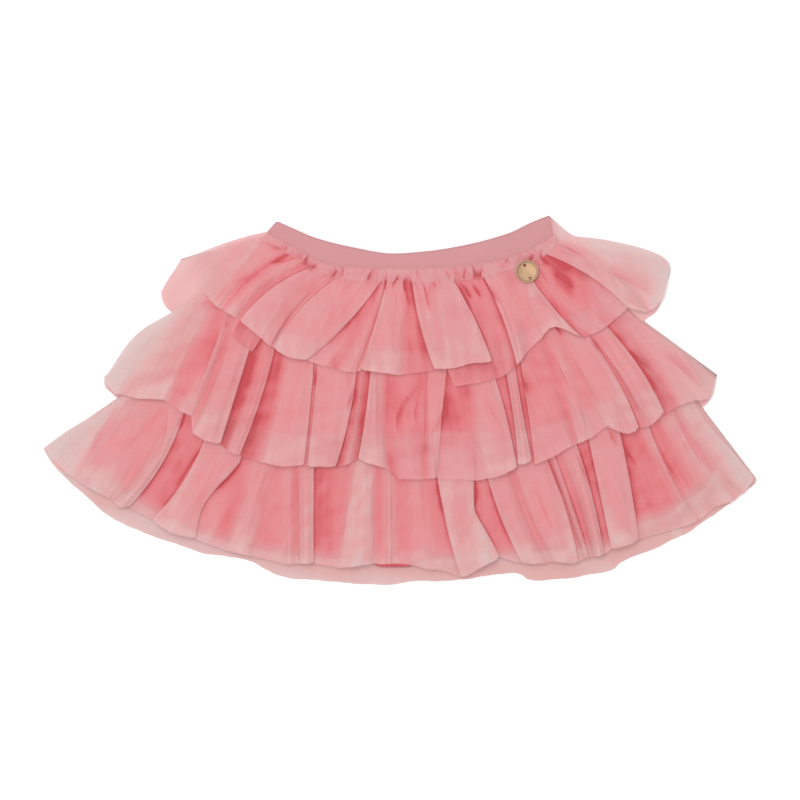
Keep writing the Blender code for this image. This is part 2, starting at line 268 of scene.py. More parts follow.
tulle = {
    "roughness": 0.85,
    "sheen": 0.25,
    "sheenRoughness": 0.5,
    "cell": 0.0009,  # width of one hole of the net, in metres
    "thread": 0.16,  # of a hole's width
    "randomness": 0.35,  # of the holes, 0 for a perfect lattice
    "streaks": (320.0, 14.0, 0.0),  # of the cloth, to the metre: many across, few down
    "patches": 55.0,
    # unevenness of the tone, which goes down from the first to the second between these two tones
    "uneven": (0.16, 0.05),
    "evenTones": (0.75, 1.1),
    "toneScale": 0.7,  # from the tone of a point to its place among the colours
    # colours by their place: 0 deep in a hollow, partly painted shade, 0.5 a fold's top, 0.8 a wing,
    # and from 0.88 on the doubled hem of the back
    "colours": (
        (0.0, (0.56, 0.075, 0.090)),
        (0.0875, (0.68, 0.145, 0.165)),
        (0.21, (0.775, 0.245, 0.265)),
        (0.49, (0.798, 0.365, 0.378)),
        (0.693, (0.750, 0.425, 0.420)),
        (0.812, (0.680, 0.515, 0.498)),
        (0.88, (0.675, 0.495, 0.480)),
        (1.0, (0.680, 0.370, 0.355)),
    ),
    "cover": (0.58, 0.62),  # how much of what is behind it the net covers, between these tones
    "coverTones": (0.0, 0.5),
    "paleCover": (0.0, 0.12),  # and how much more on the palest folds
    "paleTones": (0.78, 1.05),
    "holesShow": 0.14,  # how much less it covers in a hole than at a thread
    "bump": (0.15, 0.0001),  # strength, and distance in metres
}


def tulleFinish():
    look = tulle
    finish = Finish(
        "tulle",
        Roughness=look["roughness"],
        Sheen_Weight=look["sheen"],
        Sheen_Roughness=look["sheenRoughness"],
    )
    place = finish.place()
    # each point's tone, which holds painted shade in hollows and creases and painted highlights on edges
    tone = finish.measure("tone")
    streak = finish.noise(finish.stretched(finish.cloth(), look["streaks"]), 1.0, 3.0, 0.6)
    patch = finish.noise(place, look["patches"])
    amount = finish.ranged(tone, *look["evenTones"], *look["uneven"])
    uneven = tone + (streak + patch - 1) * amount
    net = finish.add(
        "ShaderNodeTexVoronoi",
        {"voronoi_dimensions": "2D", "feature": "DISTANCE_TO_EDGE"},
        {"Vector": place, "Scale": 1 / look["cell"], "Randomness": look["randomness"]},
    )
    thread = finish.ranged(net, look["thread"] * 0.5, look["thread"] * 1.5, 1.0, 0.0)
    cover = finish.ranged(uneven, *look["coverTones"], *look["cover"])
    cover = cover + finish.ranged(tone, *look["paleTones"], *look["paleCover"])
    netCover = 1 - look["holesShow"] / 2 + look["holesShow"] * thread
    among = {"Fac": uneven * look["toneScale"]}
    finish.set(
        Base_Color=finish.add("ShaderNodeValToRGB", {"stops": look["colours"]}, among),
        Alpha=cover * netCover * (1 - finish.measure("fray")),
        Normal=finish.bump(thread * 0.5 + streak * 2.0, *look["bump"]),
    )
    return finish.material


def placed(name, data):
    # a new object in the scene
    made = bpy.data.objects.new(name, data)
    bpy.context.scene.collection.objects.link(made)
    return made


def meshObject(name, points, faces, material, values=None, cloth=None):
    mesh = bpy.data.meshes.new(name)
    mesh.from_pydata((np.asarray(points) * millimetre).tolist(), [], faces)
    mesh.materials.append(material)
    mesh.shade_smooth()
    for kind, each in (values or {}).items():
        stored = mesh.attributes.new(kind, "FLOAT", "POINT")
        stored.data.foreach_set("value", np.asarray(each, np.float32))
    if cloth is not None:
        layer = mesh.uv_layers.new(name="cloth")
        corners = np.empty(len(mesh.loops), int)
        mesh.loops.foreach_get("vertex_index", corners)
        uv = np.asarray(cloth)[corners] * millimetre
        layer.data.foreach_set("uv", uv.astype(np.float32).ravel())
    return placed(name, mesh)


def gridObject(name, grid, material, tone=None, fray=0.0, looped=False):
    # a single surface through a grid of points, whose rows run from seam to hem
    rows, columns = grid.shape[:2]
    faces = []
    for r in range(rows - 1):
        for c in range(columns if looped else columns - 1):
            a, b = r * columns + c, r * columns + (c + 1) % columns
            faces.append((a, a + columns, b + columns, b))
    u = np.broadcast_to(travelled(grid[-1]), (rows, columns))
    cloth = np.stack([u, travelled(grid)], axis=2).reshape(-1, 2)
    values = {}
    if tone is not None:
        for kind, each in (("tone", tone), ("fray", fray)):
            values[kind] = np.broadcast_to(each, (rows, columns)).ravel()
    return meshObject(name, grid.reshape(-1, 3), faces, material, values, cloth)


def tubeObject(name, front, back, middle, bulge, thick, material):
    # a flat tube with a wall, whose sides bulge at the height halfway through it
    sides = []
    for column in (front[:, -1], front[:, 0]):
        side = column.copy()
        side[:, 0] += np.sign(side[:, 0]) * bulge
        side[:, 2] = middle
        sides.append(side[:, None])
    grid = np.concatenate([front, sides[0], back, sides[1]], axis=1)
    made = gridObject(name, grid, material, looped=True)
    wall = made.modifiers.new("wall", "SOLIDIFY")
    wall.thickness = thick * millimetre
    wall.offset = 0
    return made


# gathers at the waist, which run through the heading into the first tier, pressed in and darkened with
# painted shade
gathers = {
    "gap": (1.6, 5.4),  # between one crease and the next
    "wide": (0.35, 1.3),
    # how deep a crease is pressed in and how dark its painted shade is
    "dark": (0.04, 0.50),
    "faint": 1.3,  # above 1, more of them are faint than dark
    "reach": (3.0, 17.0),  # how far a crease runs down into the tier
    "up": (2.5, 9.0),  # and up into the heading
    "fan": 0.012,  # how fast the creases spread, for each mm downwards
    "fanFrom": -12,  # from this far above the gathering line
    "fanTo": 30,  # to this far below it
    "lean": 0.3,  # sideways, for each mm downwards
    "leanTo": 12,
    "seed": 8,
}


def gatherPlan():
    # place, width to each side, depth, reach down and up, and lean of each crease
    random = np.random.RandomState(gathers["seed"])
    least, most = gathers["dark"]
    plan = []
    x = gatherLine[0][0]
    while x < gatherLine[-1][0]:
        x += random.uniform(*gathers["gap"])
        wide = random.uniform(*gathers["wide"], 2)
        dark = random.uniform(0, 1) ** gathers["faint"] * (most - least) + least
        lean = random.uniform(-gathers["lean"], gathers["lean"])
        reach = random.uniform(*gathers["reach"])
        up = random.uniform(*gathers["up"])
        plan.append((x, *wide, dark, reach, up, lean))
    return plan


gatherCreases = gatherPlan()


def gatherShade(x, y):
    # how deep in a gather's crease a point lies, from 0 to about 1, which presses it in and paints shade
    below = curveAt(gatherLine, x) - y
    across = x / (1 + gathers["fan"] * np.clip(below, gathers["fanFrom"], gathers["fanTo"]))
    leaning = np.clip(below, gathers["fanFrom"], gathers["leanTo"])
    shade = np.zeros(np.broadcast(x, y).shape)
    for place, leftWide, rightWide, dark, reach, up, lean in gatherCreases:
        side = across - place - lean * leaning
        near = np.where(side < 0, np.exp(side / leftWide), np.exp(-side / rightWide))
        fading = np.where(below > 0, np.exp(-(below / reach) ** 2), np.exp(-(below / up) ** 2))
        shade = np.maximum(shade, dark * near * fading)
    return shade


# The front of each tier. A fold that stands up is two sides. A side leaves the seam at x, or at a
# point, and runs along the points of its path to the hem. tuck is how far the cloth turns back
# under it, 0 where it is soft, and fade how much of it is lost on the way to the hem. light is how
# pale a fold's top is, dark how deep the hollow on its right is, both from fewer layers of net over
# the lining and from painted shade, hang how far the cloth of that hollow reaches below the hem,
# beside this fold or where negative beside the next, and arch how far the middle of the fold's own
# hem is raised.
Side = namedtuple("Side", "start path tuck fade", defaults=(0, 0))
Fold = namedtuple("Fold", "left right rise light dark hang arch", defaults=(0, 0))
# A crease is its width, how deep and how dark with painted shade it is, and the points it runs
# through. It is dark on its right, or with a negative width on its left, and has a painted highlight
# on its other lip.

# the creases of the gathers, from the heading down into the first tier, pressed in and painted with shade
waistCreases = (
    (-1.4, 0.45, (-81, 113.5), (-81.5, 110.5), (-82.5, 107.5)),
    (1.5, 0.20, (-74.5, 109), (-74, 105.5), (-73, 102)),
    (-1.4, 0.30, (-69.5, 106), (-71, 102.5), (-72.5, 99.5)),
    (1.8, 0.60, (-66, 105.5), (-67.5, 102), (-71, 97.5)),
    (1.6, 0.45, (-60, 99), (-62.5, 95.5), (-66, 92.5)),
    (1.0, 0.25, (-53, 100.5), (-53, 97)),
    (-1.8, 0.50, (-47, 97.5), (-45.5, 92.5), (-50, 87)),
    (-1.6, 0.45, (-41.5, 99.5), (-40.5, 94.5), (-41.5, 88)),
    (1.8, 0.45, (-17.5, 98.5), (-20, 92.5), (-25.5, 85.5)),
    (-1.5, 0.40, (-9.5, 89), (-10.5, 84.5), (-9.5, 78)),
    (2.0, 0.60, (-1, 90.5), (-3, 87), (-6, 81.5)),
    (1.4, 0.50, (2.5, 88), (2.5, 83), (3, 77.5)),
    (-1.5, 0.45, (8.5, 87), (9, 82.5), (9.5, 76.5)),
    (1.4, 0.30, (11, 95.5), (12, 90.5), (12.5, 85.5)),
    (1.5, 0.60, (17, 84), (18.5, 75), (21, 63)),
    (1.2, 0.35, (21, 84.5), (21, 80.5), (20.5, 75)),
    (-1.2, 0.35, (22.5, 85.5), (25.5, 82.5), (23.5, 79.5)),
    (1.6, 0.45, (32, 94), (34, 90.5), (36.5, 86)),
    (2.0, 0.30, (38, 96), (39, 93), (41.5, 89.5)),
    (1.6, 0.40, (41.5, 84.5), (45.5, 76), (51.5, 64.5)),
    (1.8, 0.35, (45.5, 83), (48, 78), (51, 72.5)),
    (-1.6, 0.45, (48, 96), (47, 92), (45.5, 87)),
    (1.6, 0.50, (51.5, 98.5), (53, 92.5), (53, 85.5)),
    (2.0, 0.45, (51.5, 83), (54.5, 79), (58.5, 73)),
    (-1.4, 0.35, (59.5, 98.5), (59.5, 93), (56.5, 87.5)),
    (1.8, 0.55, (59.5, 88), (63.5, 81.5), (71, 69)),
    (-1.8, 0.40, (79, 107.5), (77.5, 100.5), (73, 94)),
    (-1.6, 0.35, (86, 107.5), (87.5, 103.5), (84.5, 98.5)),
    (-1.6, 0.50, (97, 105.5), (95.5, 102.5), (93, 99)),
    (1.4, 0.50, (102, 102), (104, 99.5), (107, 97.5)),
    (1.6, 0.35, (99, 98.5), (102, 90.5), (107.5, 81.5)),
    (2.2, 0.40, (110, 90.5), (116.5, 87.5), (125.5, 79.5)),
    (1.4, 0.60, (113.5, 112.5), (121.5, 109), (133, 102.5)),
    (1.0, 0.30, (112, 108.5), (121.5, 105.5), (130, 102.5)),
    (1.5, 0.35, (113.5, 97), (117, 96), (122, 94.5)),
    (-1.6, 0.40, (-99, 114), (-91, 111), (-82.5, 107)),
)
tier1 = {
    "name": "tier_1",
    "seam": (
        (-99, 117.5), (-84, 109.5), (-64, 96.5), (-39, 88.5), (0, 86.5),
        (36, 86.5), (72, 93.5), (101, 103.5), (113, 114),
    ),
    "folds": (
        Fold(Side((-97, 121), ((-115, 116.5), (-134, 110), (-158, 101))),
             Side(-81, ((-95, 100), (-111, 89), (-123, 78), (-132, 67)), 0, 1), 3, 0.76, 0.85),
        Fold(Side(-76, ((-90, 96), (-105, 86), (-116, 76), (-125, 63))),
             Side(-69, ((-83, 93), (-99, 83), (-111, 71), (-118, 59))), 2.5, 0.68, 0.62, -13),
        Fold(Side(-63, ((-79, 88), (-95, 79), (-107, 67), (-115, 57)), 20),
             Side(-49, ((-61, 81.5), (-71, 71.5), (-82, 58), (-93, 38))), 5, 0.66, 0.22),
        Fold(Side(-44, ((-57, 79.5), (-67, 70), (-79, 56.5), (-91.5, 37)), 2, 1),
             Side(-13, ((-24, 69), (-35, 58), (-49, 46), (-67, 28)), 5, 1), 6, 0.72, 0.80, 0, -2),
        Fold(Side(-12, ((-20, 61), (-31, 43), (-41, 21))),
             Side(-10.5, ((-16, 59), (-26, 41), (-33, 20))), 2, 0.62, 0.60),
        Fold(Side(-9, ((-10, 77), (-17, 61), (-21, 46), (-28, 21)), 4, 1),
             Side(0.5, ((2, 72), (0, 50), (-1, 18))), 5, 0.72, 0.85),
        Fold(Side(8.5, ((10, 72), (13, 56), (20, 39), (25, 21)), 5),
             Side(38, ((44, 77), (54, 58), (60, 44), (66, 28)), 34), 6.5, 0.72, 0.60, 14),
        Fold(Side(59.5, ((66, 77), (72, 63), (79, 43), (84, 24)), 4),
             Side(72.5, ((81, 72), (87, 54), (90, 33))), 5, 0.72, 0.15),
        Fold(Side(78, ((90, 75), (98, 61), (102, 45))),
             Side(88, ((97, 79), (107, 72), (116, 62), (131, 44)), 4), 5, 0.78, 0.75, 0, 9),
        Fold(Side(98, ((106, 79), (122, 66), (144, 50)), 0, 1),
             Side(99.5, ((110, 80), (127, 68), (149, 53)), 0, 1), 2, 0.60, 0.84),
        Fold(Side(104, ((113, 97.5), (130, 93), (148, 84), (164, 66)), 2, 1),
             Side(110.5, ((126, 105), (144, 96), (173, 72), (177, 63))), 4, 0.77, 0.04),
        Fold(Side((110.5, 117), ((137, 106), (173, 86), (183, 65.5))),
             Side((108.5, 131.5), ((117, 124), (126, 118), (140, 116.5), (157, 113.5), (176, 108.7),
                                   (189.5, 103), (194, 98.3))), 1.5, 0.95, 0.10, 0, -5),
    ),
    "creases": (
        (1.8, 0.30, (3, 84.5), (4.5, 76), (7, 67.5)),
        (1.6, 0.35, (94, 74.5), (97, 71), (99.5, 67.5)),
        (-2.5, 0.50, (-71.5, 104), (-83, 99.5), (-94.5, 98.5)),
        (-2.5, 0.35, (-107.5, 89), (-115, 85.5), (-122, 80.5)),
        (2.5, 0.22, (-20, 93), (-33.5, 74.5), (-47, 56)),
        (3, 0.12, (29, 74.5), (33.5, 58.5), (35.5, 39)),
        (6, 0.35, (159, 74.5), (170.5, 67.5), (180.5, 63.5)),
        (11, 0.50, (148, 92), (163, 86), (182, 75)),
    ),
    "hemHeight": height["onLowerTier"],
    "climb": (0.25, 0.64),  # where on its way it climbs onto the tier below
    "wingDrop": 4.0,  # how far its wings hang down again beside that tier
    "backSeam": (-98.5, 113),
    "backHem": (
        (-158, 102), (-162, 95), (-172, 80), (-173, 75), (-170, 68), (-163, 62), (-122, 46), (-79, 25),
        (-36, 15), (0, 14), (36, 13), (80, 17), (116, 36), (144, 43), (172, 52),
        (177, 59), (184, 62), (189, 71), (193, 84), (195.7, 92), (195.4, 96.5), (193, 100.5),
    ),
    "paleRun": 44,  # how far outside the lining the net is at its palest
    "softCorner": (-128, -154),  # between these two x of the hem the front fades into the back
    "fan": 0.0055,  # how fast the folds spread, for each mm below the seam
    "seed": 11,
}
tier2 = {
    "name": "tier_2",
    "seam": (
        (-144, 75), (-115, 65), (-90, 54), (-57, 41), (-21, 36), (22, 35),
        (65, 37), (101, 54), (130, 63), (148, 69), (159, 70),
    ),
    "folds": (
        Fold(Side(-143.5, ((-165, 63), (-190, 47), (-213, 15))),
             Side(-139.5, ((-158, 56), (-180, 36), (-205, 4))), 2.5, 0.92, 0.12),
        Fold(Side(-137, ((-147, 56), (-167, 36), (-189, 1))),
             Side(-132, ((-135, 62), (-151, 41), (-170, 0))), 3, 0.86, 0.70),
        Fold(Side(-123.5, ((-130, 46), (-141, 18), (-158, -8))),
             Side(-122, ((-127, 48), (-136, 23), (-145, -2), (-150, -11))), 3, 0.74, 0.55),
        Fold(Side(-117, ((-121, 46), (-134, 10), (-149, -24))),
             Side(-102, ((-108, 37), (-114, 20), (-119, -3), (-129, -31.5)), 7), 6.5, 0.74, 1.08, 0, -2),
        Fold(Side(-94, ((-98, 37), (-108, 3), (-123.5, -36.5))),
             Side(-87, ((-90, 30), (-97, 10), (-106, -12), (-115.5, -40.5)), 4), 4, 0.52, 0.80),
        Fold(Side(-80.5, ((-82, 21), (-91, -15), (-99, -45))),
             Side(-61.5, ((-62, 24), (-64, 0), (-67, -29), (-69, -47)), 3), 5, 0.70, 0.60, 0, -1.5),
        Fold(Side(-58.5, ((-59, 20), (-62, 0), (-65, -29), (-67, -48)), 2),
             Side(-30, ((-31, 14), (-36, -9), (-42, -33), (-46, -48)), 6), 6, 0.70, 0.70),
        Fold(Side(-27, ((-28, 7), (-35, -22), (-39, -47))),
             Side(-25.5, ((-27, 3), (-32, -22), (-36, -46))), 2, 0.55, 0.95),
        Fold(Side(-20, ((-21, 15), (-25, -8), (-28, -29), (-30, -43)), 5),
             Side(-10.5, ((-12, 14), (-14, -11), (-11, -49))), 5.5, 0.76, 0.35),
        Fold(Side(-3, ((-5, 0), (-4, -29), (-1, -57))),
             Side(17.5, ((18, 0), (16, -29), (14, -57))), 3, 0.40, 0.20),
        Fold(Side(21, ((20, 10), (21, -22), (22, -57))),
             Side(35.5, ((34, 8), (30, -10), (27, -30), (27, -57)), 2, 1), 3, 0.64, 0.92),
        Fold(Side(48, ((52, 7), (57, -22), (54, -58)), 0, 1),
             Side(61, ((66, 12), (75, -2), (81, -21), (84, -50)), 6), 6, 0.70, 0.95, 0, -1),
        Fold(Side(72.5, ((77, 14), (80, -4), (84, -27), (85, -48)), 3),
             Side(80.5, ((84, 10), (89, -11), (93, -29), (95, -44)), 3), 5, 0.74, 0.50),
        Fold(Side(84, ((87, 21), (91, -1), (94, -21), (97, -48)), 3),
             Side(97, ((105, 21), (117, -8), (124, -33))), 4, 0.50, 0.30),
        Fold(Side(102, ((111, 28), (123, -2), (128, -31))),
             Side(109, ((118, 27), (132, -2), (139, -26))), 4, 0.74, 0.35),
        Fold(Side(113.5, ((126, 27), (143, 0), (149, -19))),
             Side(124, ((137, 44), (151, 21), (163, 6), (172, -21)), 7), 6.5, 0.72, 0.75, 0, -4),
        Fold(Side(127, ((144, 36), (160, 15), (175, -4), (179, -19))),
             Side(137, ((162, 36), (182, 10), (190, -9)), 3), 5, 0.74, 0.30, 2),
        Fold(Side(143, ((173, 43), (193, 18), (202, -3))),
             Side(158, ((180, 50), (202, 34), (222, 1))), 3, 0.42, 0.10),
    ),
    "creases": (
        (2.5, 0.60, (-141.5, 71), (-135.5, 68), (-130, 65)),
        (5, 0.35, (-149.5, 69), (-143.5, 67.5), (-135, 65)),
        (-2, 0.50, (-127, 58.5), (-125, 56), (-123, 52)),
        (-2.5, 0.50, (-128, 56), (-133.5, 39), (-143.5, 14)),
        (6, 0.20, (-124, 50), (-129, 38), (-136, 20)),
        (3, 0.15, (-115, 34), (-120.5, 14), (-129, -7.5)),
        (4, 0.50, (-62.5, 24), (-61.5, 17.5), (-62.5, 8.5)),
        (3, 0.50, (-33, 11), (-35.5, 2.5), (-38.5, -7.5)),
        (3.0, 0.34, (17, 14), (2.5, -1), (-2.5, -12.5), (-2, -27)),
        (2.2, 0.50, (33.5, 7.5), (31.5, -7.5), (22, -25.5)),
        (3, 0.30, (13.5, 5.5), (10.5, -7.5), (11, -20.5)),
        (4, 0.50, (87, 20), (89.5, 11), (92, 1)),
        (-2.5, 0.35, (107, 38.5), (115.5, 22.5), (125, 3)),
        (3, 0.70, (109, 55), (112.5, 51.5), (117.5, 45.5)),
        (2.5, 0.50, (135.5, 44.5), (140, 38.5), (144.5, 31.5)),
        (4, 0.36, (164, 35.5), (171.5, 28.5), (182, 19)),
        (2.5, 0.20, (153, 39), (164.5, 27), (180.5, 5.5)),
        (9, 0.60, (187.5, 34), (200.5, 24), (216.5, 8.5)),
        (2.5, 0.22, (58, 5.5), (64.5, -6), (69.5, -17.5)),
    ),
    "hemHeight": height["onLowerTier"],
    "climb": (0.3, 0.66),
    "wingDrop": 4.0,
    "backSeam": (-143.5, 158.5),
    "backHem": (
        (-213, 17), (-213, 11), (-209, 5), (-180, -18), (-129, -40), (-72, -54),
        (0, -60), (72, -58), (144, -36), (188, -18), (219, -6), (225, 2), (228, 11), (229, 18),
    ),
    "paleRun": 28,
    "fan": 0.0042,
    "seed": 23,
}
tier3 = {
    "name": "tier_3",
    "seam": (
        (-190, 11), (-169, 8), (-151, 1), (-129, -9), (-100, -20), (-72, -26),
        (-36, -26), (22, -23), (58, -23), (87, -22), (116, -15), (144, -2),
        (173, 3), (195, 8), (209, 7),
    ),
    "folds": (
        Fold(Side(-189.5, ((-216, -8), (-241, -23), (-257, -35))),
             Side(-185.5, ((-208, -13), (-230, -36), (-239, -54))), 2.5, 0.96, 0.12),
        Fold(Side(-182, ((-198, -15), (-217, -40), (-231, -59))),
             Side(-173, ((-180, -11), (-195, -40), (-210, -71))), 3.5, 0.84, 0.22),
        Fold(Side(-168, ((-170, -22), (-187, -51), (-206, -73))),
             Side(-153, ((-159, -26), (-170, -41), (-180, -59), (-195, -77)), 7), 6.5, 0.78, 0.80, 0, -2),
        Fold(Side(-133.5, ((-151, -51), (-169, -75), (-179, -87)), 3),
             Side(-111, ((-114.5, -43), (-120, -51), (-127, -58.5), (-134.5, -66.5), (-140, -74),
                         (-144, -83), (-147.5, -100)), 6, 1), 7, 0.76, 0.80, 0, -2),
        Fold(Side(-96, ((-106, -55), (-116, -83), (-125, -109))),
             Side(-86, ((-90, -48), (-102, -74), (-109, -112))), 5, 0.76, 0.60),
        Fold(Side(-83, ((-83, -58), (-83, -94), (-83, -118))),
             Side(-77.5, ((-77, -58), (-77, -94), (-77, -118))), 3, 0.72, 0.45),
        Fold(Side(-73, ((-73, -58), (-72, -94), (-72, -118))),
             Side(-61.5, ((-62, -58), (-62, -94), (-62, -118)), 5), 6, 0.74, 0.95),
        Fold(Side(-30.5, ((-32, -40), (-37, -76), (-42, -121))),
             Side(-20, ((-20, -58), (-20, -94), (-20, -118.5))), 6, 1.00, 0.90),
        Fold(Side(-11, ((-11, -58), (-10, -94), (-10, -118.5))),
             Side(-5.5, ((-5, -58), (-5, -94), (-5, -118))), 4, 0.78, 0.36),
        Fold(Side(9, ((9, -72), (10, -105), (12, -119.5))),
             Side(15, ((18, -72), (25, -101), (29, -123))), 2, 0.62, 0.40),
        Fold(Side(23.5, ((27, -59), (33, -88), (38, -108), (44, -128)), 4),
             Side(52, ((53.5, -58.5), (53.5, -69), (53.5, -77), (56.5, -85), (62, -94.5), (72, -113)), 6),
             7, 0.88, 0.60),
        Fold(Side(56.5, ((63, -64), (73, -82), (82, -103), (88, -118)), 5),
             Side(70, ((80, -65), (94, -94), (105, -118))), 5, 0.72, 0.35),
        Fold(Side(76, ((87, -65), (101, -94), (112, -117))),
             Side(95.5, ((105, -44), (116, -68), (124, -90), (129, -117)), 5), 5.5, 0.72, 0.70),
        Fold(Side(99.5, ((113, -58), (125, -87), (133, -114))),
             Side(103.5, ((117, -57), (129, -87), (137, -114)), 2), 4.5, 0.70, 0.55),
        Fold(Side(108.5, ((121, -51), (134, -83), (140, -113))),
             Side(120, ((128, -38), (137, -64), (143, -83), (147, -111)), 4), 6, 0.74, 0.95),
        Fold(Side(131.5, ((136, -29), (143, -65), (148, -87), (152, -108)), 5),
             Side(153, ((158, -29), (165, -51), (169, -76), (172, -101)), 6), 7, 0.74, 0.90),
        Fold(Side(169, ((177, -26), (188, -51), (202, -72), (209, -90))),
             Side(173, ((182, -31), (193, -51), (209, -72), (216, -87)), 2, 1), 3, 0.72, 0.70),
        Fold(Side(182.5, ((198, -36), (216, -62), (227, -78))),
             Side(190.5, ((209, -36), (227, -58), (242, -72))), 4, 0.82, 0.30),
        Fold(Side(196, ((220, -36), (242, -58), (249, -67))),
             Side(208, ((216, -10), (238, -36), (255, -56.5))), 3, 0.92, 0.10),
    ),
    "creases": (
        (-4, 0.35, (-166.5, -2.5), (-168, -20.5), (-172.5, -40)),
        (3, 0.60, (-156.5, -9), (-159, -15), (-161.5, -20.5)),
        (8, 0.26, (-204, -4), (-218.5, -27), (-227, -45)),
        (-9, 0.24, (-169.5, -5.5), (-180, -18.5), (-215.5, -54.5)),
        (-2.5, 0.50, (-143, -34), (-152.5, -49.5), (-162.5, -65)),
        (2.5, 0.45, (-115, -44.5), (-125, -56.5), (-135, -65)),
        (-1.5, 0.45, (26.5, -58), (29, -69.5), (33.5, -87)),
        (2, 0.35, (95.5, -61.5), (102.5, -78), (110.5, -96)),
        (2, 0.40, (105.5, -43.5), (110.5, -55), (117, -70)),
        (3.5, 0.70, (148.5, -18.5), (151.5, -25.5), (156, -34)),
        (-2, 0.40, (158, -29), (164.5, -38), (171.5, -48)),
        (2.5, 0.45, (127, -38), (131.5, -51), (136.5, -63.5)),
        (3, 0.50, (53, -59.5), (53.5, -69), (53.5, -78)),
        (5, 0.35, (184, -29), (193.5, -48), (206.5, -68)),
        (4, 0.30, (200.5, -15), (206.5, -29), (216.5, -45)),
        (3, 0.15, (38.5, -65), (42, -83), (48, -102.5)),
        (3, 0.14, (-132, -56.5), (-143.5, -70), (-151, -87)),
    ),
    "hemHeight": height["frontTier"],
    "climb": (0.3, 0.7),
    "wingDrop": 0.0,
    "backSeam": (-189.5, 208.5),
    "backHem": (
        (-257.4, -35), (-247, -52), (-227, -69), (-205, -88), (-178, -98), (-147, -110),
        (-126, -113), (-108, -115), (-99, -121), (-86, -128), (-60, -130), (-26, -133),
        (-7, -133.6), (-2, -131), (29, -131), (54, -128), (76, -125), (87, -125),
        (93, -131), (116, -129), (137, -127), (152, -123), (160, -116), (180, -109),
        (202, -99), (224, -85), (245, -69), (254, -62.5), (257.4, -58), (256.5, -56),
    ),
    "paleRun": 28,
    "fan": 0.0033,
    "seed": 37,
}
# what the fronts of the three tiers share
folding = {
    "rows": 32,
    "hemRows": (0.982, 0.991, 1.0),
    "fray": (0.0, 0.0, 0.25),  # how much of the net is missing on the last rows
    "widest": 3.0,  # the widest gap between columns before they are rounded
    "seamRise": 0.9,
    "riseBy": 0.7,  # the part of the way to the hem where a fold stands at its full height
    "tuckAtSeam": 0.45,  # of the tuck at the hem
    "tuckRoom": 0.9,  # the part of a fold's width that its tucks may fill
    "fading": (0.4, 0.95),  # where on its way a side that fades is lost
    "foot": 4.5,  # how far a soft side spreads into the hollow
    "hollowRange": 0.45,  # how much darker the deepest hollow is than the folds beside it, partly fewer layers over the lining and partly painted shade
    "creaseShadeTone": 0.3,  # of the hollow's tone, painted shade in the crease beside a crisp edge
    "paleHem": 0.16,  # how much paler a fold's top is at its hem
    "paleHemFrom": 0.55,
    "paleEdge": 0.25,  # how much paler a wing is
    "palest": (1, 0.16),  # the palest tone over the lining, and how much more on a wing
    "unlinedTone": 0.98,  # of the net where it has no lining under it
    "edgeDrop": 2.6,  # past the lining's side, down to just above the back
    "floorPart": 0.1,  # below this part of its height a fold belongs to the hollow
    "middlePart": 0.42,  # and below this part to what is turned under
    "corner": 1.5,  # how far the corners of a fold's hem are rounded off
    "cornerReach": 1.3,
    "hidden": 1.4,  # how far the hem of what is turned under is drawn up
    "uneven": 0.5,  # how far the hem wanders
    "hemWaves": ((23.0, 1.0, 6), (8.0, 0.3, 9), (2.4, 0.22, 12)),  # size, share and count
    "gatherDepth": 1.1,
    # how much the gathers' creases are darkened, a painted shade
    "paintedGatherShade": 0.75,
    "seamDip": 0.6,  # how far the first tier dips to pass under the heading
    "dipReach": 1.6,
    "ripple": 0.3,
    # how much the tone follows the ripples, a painted shading
    "paintedRippleShading": 0.03,
    "mottle": 0.075,
    "creaseDepth": 0.9,
    "lip": 0.6,  # how high the cloth stands beside a crease, as a part of its depth
    # how much paler the lip beside a crease is, a painted highlight
    "lipHighlight": 0.25,
    "overBand": 5.05,  # no part of the heading lies lower, nor of the first tier
    "bandReach": 20,  # down to here
    "waistDark": 1.35,  # how much deeper, and darker with painted shade, the creases of the waist are than their numbers
}
# and what their backs share
backing = {
    "column": 1.6,  # width of a column at the hem
    "cover": 0.16,  # how much more the back covers where it shows by itself
    "turnCover": -2.5,  # and how much less the net covers at the sides, as a multiple of that
    "underHem": (1.5, 9.0),  # past the hem of the tier above, where it comes down to the floor
    "foldSize": 16.0,
    "foldHeight": 0.28,
    "wingHeight": 0.9,
    "wingRun": (4, 20),  # how far outside the lining the folds of a wing rise
    "tone": 0.66,
    # how much paler the back is on its folds, a painted shading
    "paintedFoldShading": 0.16,
    "wingTone": 0.35,
    "hemTone": 0.9,  # past the lining's hem
    "rim": 1.39,  # the tone of the doubled hem
    "rimShadeLean": 0.0003,  # painted shade: how much darker the rim grows for each mm to the left
    "rimUneven": 0.05,
    "rimSize": 34.0,
    "lowest": 0.1,
}


def rowPlaces():
    upper = np.linspace(0, folding["hemRows"][0], folding["rows"], endpoint=False)
    return np.concatenate([upper, folding["hemRows"]])


def sidePath(tier, side, v, outline):
    # the points of one side of a fold, at the distances v down from the seam: an outline and a
    # long path run through every point, and any other side has a single bend
    start = side.start
    if not isinstance(start, tuple):
        start = (start, float(curveAt(tier["seam"], start)))
    points = np.array([start, *side.path], float)
    length = travelled(points)
    if outline or len(side.path) > 4:
        smoothed = [curveAt(list(zip(length, points[:, axis])), v * length[-1]) for axis in (0, 1)]
        return np.stack(smoothed, axis=1)
    first, last = points[0], points[-1]
    t = (length / length[-1])[:, None]
    pull = 2 * t * (1 - t)
    rest = points - (1 - t) ** 2 * first - t * t * last
    middle = (pull * rest).sum(axis=0) / (pull * pull).sum()
    t = v[:, None]
    return (1 - t) ** 2 * first + 2 * t * (1 - t) * middle + t * t * last


def keptPart(side, v):
    # how much of a side's tuck is left at the distances v
    return 1 - side.fade * ramp(v, *folding["fading"])


